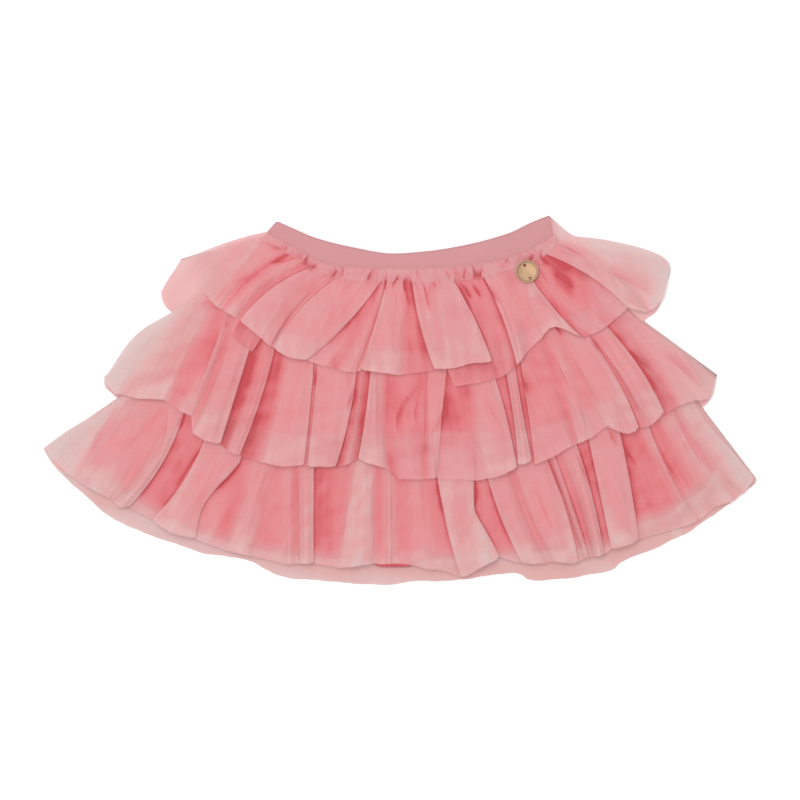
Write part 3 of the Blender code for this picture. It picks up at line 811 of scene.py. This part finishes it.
def halfFold(edge, inward, outward, side, tuck, v, width, valley, light, hollow):
    # half of a fold, from the hollow beside it up to near its top, as columns of places, height
    # as a part of the fold's, tone, and distance in from the edge. A tucked side is crisp, with
    # the cloth turned back under it.
    kept = keptPart(side, v)
    floorTone = light + (hollow - light) * (0.3 + 0.7 * kept)
    columns = []

    def column(run, up, tone):
        run = np.broadcast_to(run, v.shape)
        place = edge + inward * np.maximum(run, 0)[:, None] - outward * np.minimum(run, 0)[:, None]
        columns.append((place, up, tone, run))

    def between(share):
        return floorTone + (light - floorTone) * share

    column(-0.45 * valley, 0, floorTone)
    if side.tuck:
        soft = 3.5 * (1 - kept)
        turn = np.minimum(0.8, tuck * 0.3)
        creaseShadeTone = floorTone * (1 - (1 - folding["creaseShadeTone"]) * kept)
        # painted shade across the hollow, darkest beside the fold
        column(-np.minimum(6.5, 0.32 * valley) - 0.05 * soft, 0, floorTone)
        column(-np.minimum(2.4, 0.17 * valley) - 0.3 * soft, 0.01, between(-0.22 * kept))
        column(-np.minimum(1.0, 0.09 * valley) - 0.1 * soft, 0.02, creaseShadeTone)
        # in under the fold, round the tuck and out again, with painted shade in the crease at its foot
        column(np.minimum(0.6, 0.5 * tuck), 0.04, creaseShadeTone)
        column(tuck - turn, 0.07, floorTone)
        column(tuck, 0.15, floorTone)
        column(tuck - turn, 0.23, between(0.3))
        column(0.3 * turn, 0.36, between(0.6))
        # over the edge, which catches the light: a painted highlight
        column(0, 0.46, light - 0.05)
        column(0.4, 0.54, light + 0.06)
        column(np.minimum(2.4, 0.2 * width), 0.70, light + 0.03)
    else:
        foot = np.minimum(folding["foot"], 0.4 * valley)
        column(-foot, 0.03, between(0.08))
        column(-0.5 * foot, 0.2, between(0.42))
        column(0, 0.5, between(0.86))
        column(np.minimum(2.5, 0.2 * width), 0.72, light)
    column(0.33 * width, 0.93, light)
    return columns


def hemShift(up, run, side, fold, hollow, onLeft, v, width, valley):
    # how far a column is let down towards its hem, or drawn up where negative
    inside = np.maximum(run, 0)
    share = inside / width
    lift = 4 * share * (1 - share) * fold.arch
    if side.tuck and up > folding["middlePart"]:
        lift = lift + folding["corner"] * np.exp(-inside / folding["cornerReach"])
    if up < folding["middlePart"] and (onLeft or hollow.hang == 0):
        lift = lift + folding["hidden"] * (inside > 0)
    taper = np.clip(-run / valley, 0, 1)
    if onLeft == (hollow.hang < 0):
        taper = 1 - taper
    drop = abs(hollow.hang) * v * v * taper if up < folding["floorPart"] else 0
    return drop - lift * v ** 6


def foldedGrid(tier):
    # the columns of a front, each with x, y, z and tone for every row
    v = rowPlaces()
    folds = tier["folds"]
    final = len(folds) - 1
    lines = []
    for i, fold in enumerate(folds):
        lines.append((sidePath(tier, fold.left, v, i == 0), sidePath(tier, fold.right, v, i == final)))
    spread = folding["tuckAtSeam"] + (1 - folding["tuckAtSeam"]) * v
    columns = []
    for i, fold in enumerate(folds):
        left, right = lines[i]
        rise = folding["seamRise"] + (fold.rise - folding["seamRise"]) * ramp(v, 0, folding["riseBy"])
        width = np.hypot(*(right - left).T)
        inward = (right - left) / width[:, None]
        down = np.gradient(left + right, axis=0)
        down /= np.hypot(*down.T)[:, None]
        tucked = np.maximum(spread * (fold.left.tuck + fold.right.tuck), 0.01)
        fit = spread * np.minimum(1, folding["tuckRoom"] * width / tucked)
        tone = fold.light + folding["paleHem"] * ramp(v, folding["paleHemFrom"], 1)
        for side, edge, toward, near in (
            (fold.left, left, inward, i - 1),
            (fold.right, right, -inward, i + 1),
        ):
            # the hollow beside this side, which the fold on its left describes
            onLeft = near < i
            outer = not 0 <= near <= final
            hollow = fold if outer else folds[min(i, near)]
            across = -toward if outer else lines[near][onLeft] - edge
            valley = np.maximum(np.hypot(*across.T), 0.1)
            palest = fold.light if outer else min(fold.light, folds[near].light)
            # the hollow's tone: fewer layers of net over the lining, and painted shade
            floorTone = palest - folding["hollowRange"] * hollow.dark
            tuck = side.tuck * fit * keptPart(side, v)
            outward = across / valley[:, None]
            half = halfFold(edge, toward, outward, side, tuck, v, width, valley, tone, floorTone)
            if outer:
                half = half[-3:]  # nothing lies beside the outline
            for place, up, columnTone, run in half if onLeft else reversed(half):
                shift = hemShift(up, run, side, fold, hollow, onLeft, v, width, valley)
                place = place + down * shift[:, None]
                columns.append(np.stack([*place.T, up * rise, columnTone], axis=1))
            if onLeft:
                middle = (left + right) / 2 - down * (fold.arch * v ** 6)[:, None]
                columns.append(np.stack([*middle.T, rise, tone], axis=1))
    return overLayers(tier, np.stack(columns, axis=1), v)


def overLayers(tier, grid, v):
    # lifts a front onto the layers below, and pales it where no lining is under it
    x, y = grid[:, :, 0], grid[:, :, 1]
    outside = pastLining(x, y)
    beyond = curveAt(liningHem, x) - y
    climb = ramp(v, *tier["climb"])[:, None]
    grid[:, :, 2] += height["frontTier"] + (tier["hemHeight"] - height["frontTier"]) * climb
    grid[:, :, 2] -= folding["edgeDrop"] * ramp(np.maximum(outside, beyond - 1), 2.5, 14.5)
    grid[:, :, 2] -= tier["wingDrop"] * climb * ramp(outside, 10, 40)
    wing = ramp(outside, 0, tier["paleRun"])
    unlined = np.maximum(0.4 * wing, 0.75 * ramp(beyond, -10, 2))
    tone = grid[:, :, 3] + np.maximum(folding["unlinedTone"] - grid[:, :, 3], 0) * unlined
    palest, more = folding["palest"]
    grid[:, :, 3] = np.minimum(tone + folding["paleEdge"] * wing, palest + more * wing)
    return grid


def evened(grid, widest):
    # adds columns where they stand far apart near the hem
    gap = np.hypot(*np.diff(grid[:, :, :2], axis=1)[-8:].mean(axis=0).T)
    counts = np.maximum(1, np.ceil(gap / widest)).astype(int)
    at = np.concatenate([c + np.arange(n) / n for c, n in enumerate(counts)] + [[grid.shape[1] - 1]])
    first = np.minimum(at.astype(int), grid.shape[1] - 2)
    share = (at - first)[None, :, None]
    return grid[:, first] * (1 - share) + grid[:, first + 1] * share


def unevenHem(grid, seed):
    # lengthens and shortens the cloth a little towards its hem
    down = grid[-1, :, :2] - grid[-3, :, :2]
    down /= np.maximum(np.hypot(*down.T), 0.01)[:, None]
    far = 0
    for number, (size, share, count) in enumerate(folding["hemWaves"]):
        far = far + share * waves(grid[-1, :, 0], grid[-1, :, 1], size, seed + number, count)
    nearHem = (rowPlaces() ** 7)[:, None, None]
    grid[:, :, :2] += nearHem * down * far[:, None] * folding["uneven"]
    return grid


def creased(creases, grid, strength=1):
    # presses the creases into a grid, and paints shade into them and a highlight on the lip beside them
    x, y = grid[:, :, 0], grid[:, :, 1]
    for width, dark, *points in creases:
        path = np.array(points, float)
        steps = np.diff(path, axis=0)
        lengths = np.hypot(*steps.T)
        nearest = np.full(x.shape, np.inf)
        offset = place = sharp = np.zeros(x.shape)
        before = 0.0
        for start, step, length in zip(path, steps, lengths):
            dx, dy = x - start[0], y - start[1]
            part = np.clip((dx * step[0] + dy * step[1]) / length ** 2, 0, 1)
            apart = np.hypot(dx - part * step[0], dy - part * step[1])
            side = np.sign(step[0] * dy - step[1] * dx)
            closer = apart < nearest
            nearest = np.where(closer, apart, nearest)
            offset = np.where(closer, apart * side, offset)
            place = np.where(closer, (before + part * length) / lengths.sum(), place)
            # a crease that runs across the columns has a softer edge, or it would look stepped
            sharp = np.where(closer, 0.35 + 1.1 * abs(step[0]) / length, sharp)
            before += length
        side = offset * np.sign(width)
        ends = np.sin(np.pi * place) ** 0.7
        shade = np.where(side > 0, np.exp(-side / abs(width)), np.exp(side / sharp)) * ends
        lip = np.exp(-((side + 1.0) / 0.8) ** 2) * ends
        # painted shade in the crease and a painted highlight on its lip
        grid[:, :, 3] += dark * strength * (folding["lipHighlight"] * lip - shade)
        grid[:, :, 2] += folding["creaseDepth"] * dark * strength * (folding["lip"] * lip - shade)
    return grid


def hanging(tier, x, y):
    # how far below the seam a point lies, and the place on the seam that its cloth comes from
    below = np.maximum(curveAt(tier["seam"], x) - y, 0)
    return below, x / (1 + tier["fan"] * below)


def rippled(tier, grid):
    # the gathers below the seam, and the soft unevenness of the net further down
    x, y = grid[:, :, 0], grid[:, :, 1]
    below, origin = hanging(tier, x, y)
    seed = tier["seed"]
    if tier is tier1:
        shade = gatherShade(x, y)
        dip = folding["seamDip"] * np.exp(-below / folding["dipReach"])
        grid[:, :, 2] -= folding["gatherDepth"] * shade + dip
        # painted shade in the gathers' creases
        grid[:, :, 3] -= folding["paintedGatherShade"] * shade
        raised = np.maximum(grid[:, :, 2], folding["overBand"])
        grid[:, :, 2] = np.where(below < folding["bandReach"], raised, grid[:, :, 2])
    # streaks, several times longer down the cloth than across it
    fine = waves(origin, below * 0.16, 7.0, seed) + 0.5 * waves(origin, below * 0.2, 3.4, seed + 1)
    grid[:, :, 2] += folding["ripple"] * fine * ramp(below, 0, 15)
    broad = waves(origin, below * 0.35, 15.0, seed + 2) + 0.7 * waves(x, y, 11.0, seed + 3)
    calm = 1 - 0.8 * ramp(pastLining(x, y), 4, 22)
    # the tone follows the fine ripples, a painted shading, and is mottled at random
    grid[:, :, 3] += (folding["paintedRippleShading"] * fine + folding["mottle"] * broad) * calm
    return grid


def frontGrid(tier):
    grid = rounded(evened(foldedGrid(tier), folding["widest"]))
    grid = creased(tier["creases"], unevenHem(grid, tier["seed"] + 40))
    if tier is tier1:
        grid = creased(waistCreases, grid, folding["waistDark"])
    return rippled(tier, grid)


def backGrid(tier, upperHem):
    # the back of a tier, from the right side round to the left
    hem = rounded(np.array([tier["backHem"]], float))[0]
    columns = int(pathLength(hem) / backing["column"])
    top = onCurve(tier["seam"], *tier["backSeam"], np.linspace(0, 1, columns))[::-1]
    bottom = along(hem, columns)[::-1]
    v = rowPlaces()
    flat = unevenHem(panel(top, bottom, v), tier["seed"] + 50)
    x, y = flat[:, :, 0], flat[:, :, 1]
    level = np.full(x.shape, height["backOuter"])
    if upperHem:
        past = ramp(curveAt(upperHem, x) - y, *backing["underHem"])
        level += (height["backInner"] - height["backOuter"]) * (1 - past)
    below, origin = hanging(tier, x, y)
    outside = pastLining(x, y)
    folds = waves(origin, below * 0.1, backing["foldSize"], tier["seed"] + 5)
    wing = ramp(outside, *backing["wingRun"]) * ramp(v, 0, 0.5)[:, None]
    level += backing["foldHeight"] * folds + backing["wingHeight"] * (0.6 + folds) * wing
    beyond = ramp(curveAt(liningHem, x) - y, 0, 6)
    # paler on the back's folds than between them, a painted shading, and paler where no lining lies
    # behind it
    tone = backing["tone"] + backing["paintedFoldShading"] * folds + backing["hemTone"] * beyond
    tone += backing["wingTone"] * ramp(outside, 0, tier["paleRun"])
    # the rim's tone, darker towards the wearer's left, a painted shade, and uneven at random
    rim = backing["rim"] + backing["rimShadeLean"] * x
    rim += backing["rimUneven"] * waves(x, y, backing["rimSize"], tier["seed"] + 6)
    byItself = ramp(np.maximum(outside, 14 * beyond), 0, 14)
    return np.dstack([x, y, np.maximum(level, backing["lowest"]), np.minimum(tone, rim), byItself])


def sideTurn(start, end, columns=3):
    # the few columns where the cloth turns from the front to the back
    t = np.linspace(0, 1, columns + 2)[1:-1]
    turn = np.stack([start * (1 - k) + end * k for k in t], axis=1)
    turn[:, :, 4] = backing["turnCover"]
    return turn


def lowestHem(tier):
    # the run of a back hem between its outermost points, where x only grows
    hem = tier["backHem"]
    across = [x for x, _ in hem]
    first = len(hem) - 1 - across[::-1].index(min(across))
    return hem[first:across.index(max(across)) + 1]


def makeTier(tier, upperTier, material):
    front = frontGrid(tier)
    fading = np.zeros(front.shape[:2])
    if "softCorner" in tier:
        fading = ramp(front[-1, :, 0], *tier["softCorner"]) * ramp(rowPlaces(), 0.5, 1)[:, None]
    # the fifth value of a point says how much more the net covers there
    front = np.dstack([front, -fading / backing["cover"]])
    back = backGrid(tier, lowestHem(upperTier) if upperTier else None)
    right = sideTurn(front[:, -1], back[:, 0])
    left = sideTurn(back[:, -1], front[:, 0])
    grid = np.concatenate([front, right, back, left, front[:, :1]], axis=1)
    fray = np.concatenate([np.zeros(folding["rows"]), folding["fray"]])[:, None]
    fray = fray - backing["cover"] * grid[:, :, 4]
    made = gridObject(tier["name"], grid[:, :, :3], material, grid[:, :, 3], fray=fray)
    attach(made, "root")
    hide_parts(tier["name"] + "_front", tier["name"] + "_back")
    return front[0]


tulleMaterial = tulleFinish()


lining = {
    "columns": 120,
    "rows": 30,
    "thick": 0.4,
    "ripple": 0.16,
    "rippleSize": 26.0,
    "inBand": 1.4,  # how far its top runs up inside the waistband
    "bulge": 0.35,  # of its side edges
    "sag": 6.1,  # how far its hem drops below the third tier's, in one place
    "sagPlace": -4.0,
    "sagReach": 18.0,  # to each side of that place
    "colour": (0.66, 0.075, 0.095),
    "colourWorn": (0.72, 0.11, 0.13),
    "weave": 900.0,  # to the metre
    "patches": 40.0,
    "bump": (0.2, 0.00005),
    "seed": 5,
}


def liningFinish():
    finish = Finish("lining", Roughness=0.7, Sheen_Weight=0.15)
    place = finish.place()
    weave = finish.bands(place, lining["weave"], "X") + finish.bands(place, lining["weave"], "Y")
    patch = finish.noise(place, lining["patches"], 3.0)
    finish.set(
        Base_Color=finish.blended(patch, lining["colour"], lining["colourWorn"]),
        Normal=finish.bump(weave, *lining["bump"]),
    )
    return finish.material


def makeLining():
    top = wholeCurve(gatherLine, lining["columns"]) + (0, lining["inBand"])
    bottom = along(liningHem, lining["columns"])
    fromSag = (bottom[:, 0] - lining["sagPlace"]) / lining["sagReach"]
    bottom[:, 1] -= lining["sag"] * np.exp(-fromSag ** 6)
    x, y = panel(top, bottom, np.linspace(0, 1, lining["rows"])).transpose(2, 0, 1)
    ripple = lining["ripple"] * waves(x, y * 0.25, lining["rippleSize"], lining["seed"])
    front = np.dstack([x, y, height["frontLining"] + ripple])
    back = np.dstack([x, y, height["backLining"] + ripple])[:, ::-1]
    middle = (height["frontLining"] + height["backLining"]) / 2
    made = tubeObject("lining", front, back, middle, lining["bulge"], lining["thick"], liningFinish())
    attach(made, "root")
    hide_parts("lining_front", "lining_back")


makeLining()
firstTop = makeTier(tier1, None, tulleMaterial)
makeTier(tier2, tier1, tulleMaterial)
makeTier(tier3, tier2, tulleMaterial)


band = {
    "columns": 150,
    "rows": 12,
    "crowded": 0.25,  # how much closer the columns stand towards both ends
    "thick": 1.2,
    "bulge": 0.55,
    "crown": 0.35,
    "crownRun": 0.2,  # of its height, at the fold of the elastic
    "swell": 0.12,
    "swellSize": 30.0,
    "tip": 3.2,  # how far the two upper corners are rounded
    "colour": (0.505, 0.222, 0.233),
    # the colour on the ribs' crests, a painted highlight, and in random patches
    "colourRibHighlightAndPatch": (0.565, 0.257, 0.268),
    "rib": 0.0011,  # width of a rib, in metres
    "waveWidth": 0.31,  # of one band of a wave at scale 1
    "loops": (900.0, 1500.0, 0.0),
    "patches": 35.0,
    "bump": (0.25, 0.00015),
    "seed": 71,
}


def bandFinish():
    finish = Finish("waistband", Roughness=0.8, Sheen_Weight=0.3, Sheen_Roughness=0.4)
    cloth = finish.cloth()
    ribs = finish.bands(cloth, band["waveWidth"] / band["rib"], "X", 0.6)
    loops = finish.noise(finish.stretched(cloth, band["loops"]), 1.0, 1.0)
    # lighter on the ribs' crests, a painted highlight, and in random patches
    raised = ribs * 0.5 + finish.noise(cloth, band["patches"]) * 0.5
    finish.set(
        Base_Color=finish.blended(raised, band["colour"], band["colourRibHighlightAndPatch"]),
        Normal=finish.bump(ribs + loops * 0.5, *band["bump"]),
    )
    return finish.material


def makeBand():
    even = np.linspace(0, 1, band["columns"])
    across = even + ((1 - np.cos(even * math.pi)) / 2 - even) * band["crowded"]
    top = onCurve(bandTop, bandTop[0][0], bandTop[-1][0], across)
    bottom = onCurve(gatherLine, gatherLine[0][0], gatherLine[-1][0], across)
    fromTip = np.minimum(top[:, 0] - top[0, 0], top[-1, 0] - top[:, 0]) / band["tip"]
    top[:, 1] -= band["tip"] * (1 - np.sqrt(1 - (1 - np.minimum(fromTip, 1)) ** 2))
    v = np.linspace(0, 1, band["rows"])
    x, y = panel(top, bottom, v).transpose(2, 0, 1)
    crown = band["crown"] * (ramp(v, 0, band["crownRun"])[:, None] - 0.6)
    swell = band["swell"] * waves(x, y, band["swellSize"], band["seed"])
    front = np.dstack([x, y, height["frontBand"] + crown + swell])
    back = np.dstack([x, y, height["backBand"] - crown * 0.5 + swell * 0.5])[:, ::-1]
    middle = (height["frontBand"] + height["backBand"]) / 2
    made = tubeObject("waistband", front, back, middle, band["bulge"], band["thick"], bandFinish())
    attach(made, "root")
    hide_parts("waistband_front", "waistband_back")


makeBand()


# the gathered heading above the seam of the first tier
heading = {
    "column": 0.35,  # width of a column
    "backColumns": 160,
    "rows": 20,
    "relief": 1.5,
    "softRelief": 0.45,
    "ragged": (0.6, 0.3),  # how uneven its top edge is, in long and in short waves
    "tone": 0.70,
    # how much the gathers' creases are darkened, a painted shade
    "paintedGatherShade": 0.95,
    # how much paler the puffs are than the gaps between them, a painted shading
    "paintedPuffShading": 0.12,
    "overlap": 2.0,  # how far it runs down over the first tier's top
    "near": 0.9,  # how far to each side it looks for the highest point to lie on
    "settling": (0.3, 0.8),  # where on its way down it comes to lie on the first tier
    "clear": 0.3,  # and how far above it
    "backTone": 0.6,
    "seed": 91,
}


def makeHeading():
    seed = heading["seed"]
    columns = int((gatherLine[-1][0] - gatherLine[0][0]) / heading["column"])
    top, bottom = wholeCurve(headingTop, columns), wholeCurve(gatherLine, columns)
    bottom[:, 1] -= heading["overlap"]
    rows = np.linspace(0, 1, heading["rows"])
    v = rows[:, None]
    x, y = panel(top, bottom, rows).transpose(2, 0, 1)
    shade = gatherShade(x, y)
    long, short = heading["ragged"]
    ragged = long * waves(top[:, 0], 0, 11.0, seed) + short * waves(top[:, 0], 0, 3.5, seed + 1)
    y = y + ragged * (1 - v) ** 2
    soft = waves(x / (1 - 0.01 * (y - 95)), y * 0.3, 6.0, seed + 4)  # spreads a little downwards
    relief = heading["relief"] * (0.6 - shade) + heading["softRelief"] * soft
    z = height["heading"] + ramp(v, 0, 0.3) * relief
    # painted shade in the gathers' creases and painted shading over the puffs
    tone = heading["tone"] - heading["paintedGatherShade"] * shade + heading["paintedPuffShading"] * soft
    # its lower rows settle onto the highest point of the first tier's top beside them
    beside = np.abs(firstTop[:, 0] - bottom[:, :1]) < heading["near"]
    under = firstTop[np.where(beside, firstTop[:, 2], 0).argmax(axis=1)]
    settled = ramp(v, *heading["settling"])
    z = z * (1 - settled) + (under[:, 2] + heading["clear"]) * settled
    tone = tone * (1 - settled) + under[:, 3] * settled
    grid = creased(waistCreases, np.dstack([x, y, z, tone]), folding["waistDark"])
    grid[:, :, 2] = np.maximum(grid[:, :, 2], folding["overBand"])
    # thin along its top edge, and fading out over the first tier
    fray = 0.8 * (1 - ramp(v, 0, 0.35)) + ramp(v, 0.78, 1)
    made = gridObject("heading", grid[:, :, :3], tulleMaterial, grid[:, :, 3], fray)
    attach(made, "root")
    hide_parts("waist_heading_front")

    columns = heading["backColumns"]
    top, bottom = wholeCurve(headingTop, columns), wholeCurve(gatherLine, columns)
    x, y = panel(top, bottom, rows).transpose(2, 0, 1)
    wave = waves(x, y * 0.1, 5.0, seed + 2)
    back = np.dstack([x, y, height["backOuter"] + 0.3 * wave])
    made = gridObject("heading_back", back, tulleMaterial, heading["backTone"] + 0.1 * wave)
    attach(made, "root")
    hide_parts("waist_heading_back")
    print("heading made")


makeHeading()


button = {
    "centre": (91.4, 92.5),
    "radius": 8.0,
    "base": 8.2,
    "thick": 1.7,
    "rim": 0.9,
    "rimTop": 0.04,  # where its flat top begins, past the rounded edge
    "edge": 0.1,
    "edgeSteps": 5,
    # the way down from the rim to the face: outwards from the inner edge, and down
    "slope": ((0.1, 0), (0, 0.02), (-0.25, 0.24), (-0.6, 0.3)),
    "hole": 1.0,
    "holes": ((89.6, 96.8), (93.6, 87.5)),
    "holeBevel": (0.15, 0.5, 0.35),  # starts below the face, widens by, and ends above the rim
    "holeSegments": 32,
    "segments": 96,
    "sharp": 35,  # degrees
    "colour": (0.24, 0.15, 0.088),
    "colourWorn": (0.32, 0.21, 0.13),
    "grain": 900.0,
    "rub": 160.0,
    "roughness": (0.42, 0.16),  # and how much rougher where it is rubbed
    "bump": (0.12, 0.0001),
}


def buttonFinish():
    finish = Finish("button", Metallic=1.0)
    place = finish.place()
    rub = finish.noise(place, button["rub"])
    smoothest, rougher = button["roughness"]
    finish.set(
        Base_Color=finish.blended(rub, button["colour"], button["colourWorn"]),
        Roughness=smoothest + rougher * rub,
        Normal=finish.bump(finish.noise(place, button["grain"], 3.0), *button["bump"]),
    )
    return finish.material


def turned(name, profile, centre, segments, material):
    # a disc turned from (radius, height) points, closed at its axis
    points, faces = [], []
    for s in range(segments):
        angle = math.tau * s / segments
        for radius, z in profile:
            points.append((centre[0] + radius * math.cos(angle), centre[1] + radius * math.sin(angle), z))
    count = len(profile)
    for s in range(segments):
        here, after = s * count, (s + 1) % segments * count
        for k in range(count - 1):
            faces.append((here + k, after + k, after + k + 1, here + k + 1))
    faces.append([s * count for s in reversed(range(segments))])
    faces.append([s * count + count - 1 for s in range(segments)])
    return meshObject(name, points, faces, material)


def makeButton():
    outer, base, top = button["radius"], button["base"], button["base"] + button["thick"]
    inner, edge = outer - button["rim"], button["edge"]
    quarter = np.linspace(0, math.pi / 2, button["edgeSteps"])
    profile = [(outer - edge * (1 - math.sin(a)), base + edge * (1 - math.cos(a))) for a in quarter]
    profile += [(outer - edge * (1 - math.cos(a)), top - edge * (1 - math.sin(a))) for a in quarter]
    profile.append((outer - edge - button["rimTop"], top))
    profile += [(inner + out, top - down) for out, down in button["slope"]]
    made = turned("button", profile, button["centre"], button["segments"], buttonFinish())
    face = profile[-1][1]
    start, widening, end = button["holeBevel"]
    hole = button["hole"]
    bore = [(hole, base - 1), (hole, face - start), (hole + widening, top + end)]
    cutters = []
    for number, centre in enumerate(button["holes"]):
        cutter = turned(f"bore{number}", bore, centre, button["holeSegments"], made.data.materials[0])
        cut = made.modifiers.new(f"hole{number}", "BOOLEAN")
        cut.operation = "DIFFERENCE"
        cut.object = cutter
        cutters.append(cutter)
    graph = bpy.context.evaluated_depsgraph_get()
    whole = bpy.data.meshes.new_from_object(made.evaluated_get(graph))
    made.modifiers.clear()
    made.data = whole
    for cutter in cutters:
        bpy.data.objects.remove(cutter)
    whole.shade_smooth()
    whole.set_sharp_from_angle(angle=math.radians(button["sharp"]))
    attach(made, "root")
    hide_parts("button")
    print("button made")


makeButton()


studio = {
    "floor": 3.0,  # half its width; every length here is in metres
    "floorPlace": -0.0002,
    "floorColour": (0.93, 0.93, 0.93),
    "floorSpeck": (0.95, 0.95, 0.95),
    "sky": 0.63,
    "lampSize": 1.4,
    "lampPlace": (-0.35, 0.45, 3.0),
    "lampPower": 61.0,
    "cameraHeight": 2.4,
    "frameWidth": 0.576,
    "framedAt": 0.006,  # the height where the frame is that wide
    "netLayers": 24,  # how many layers of net a ray may pass
}


def makeStudio():
    size = studio["floor"]
    corners = [(-size, -size, 0), (size, -size, 0), (size, size, 0), (-size, size, 0)]
    mesh = bpy.data.meshes.new("floor")
    mesh.from_pydata(corners, [], [(0, 1, 2, 3)])
    floor = placed("floor", mesh)
    finish = Finish("floor", Roughness=0.9)
    speck = finish.noise(finish.place(), 30.0)
    finish.set(Base_Color=finish.blended(speck, studio["floorColour"], studio["floorSpeck"]))
    mesh.materials.append(finish.material)
    floor.location.z = studio["floorPlace"]

    world = bpy.data.worlds.new("studio")
    world.use_nodes = True
    sky = world.node_tree.nodes["Background"].inputs
    sky["Color"].default_value = (1, 1, 1, 1)
    sky["Strength"].default_value = studio["sky"]
    bpy.context.scene.world = world

    lamp = bpy.data.lights.new("softbox", "AREA")
    lamp.size = studio["lampSize"]
    lamp.energy = studio["lampPower"]
    softbox = placed("softbox", lamp)
    softbox.location = studio["lampPlace"]
    softbox.rotation_euler = (-Vector(studio["lampPlace"])).to_track_quat("-Z", "Y").to_euler()

    lens = bpy.data.cameras.new("camera")
    away = studio["cameraHeight"] - studio["framedAt"]
    lens.lens = lens.sensor_width * away / studio["frameWidth"]
    camera = placed("camera", lens)
    camera.location = (0, 0, studio["cameraHeight"])
    bpy.context.scene.camera = camera
    bpy.context.scene.view_settings.view_transform = "Standard"
    bpy.context.scene.cycles.transparent_max_bounces = studio["netLayers"]
    print("floor, light and camera made")


makeStudio()
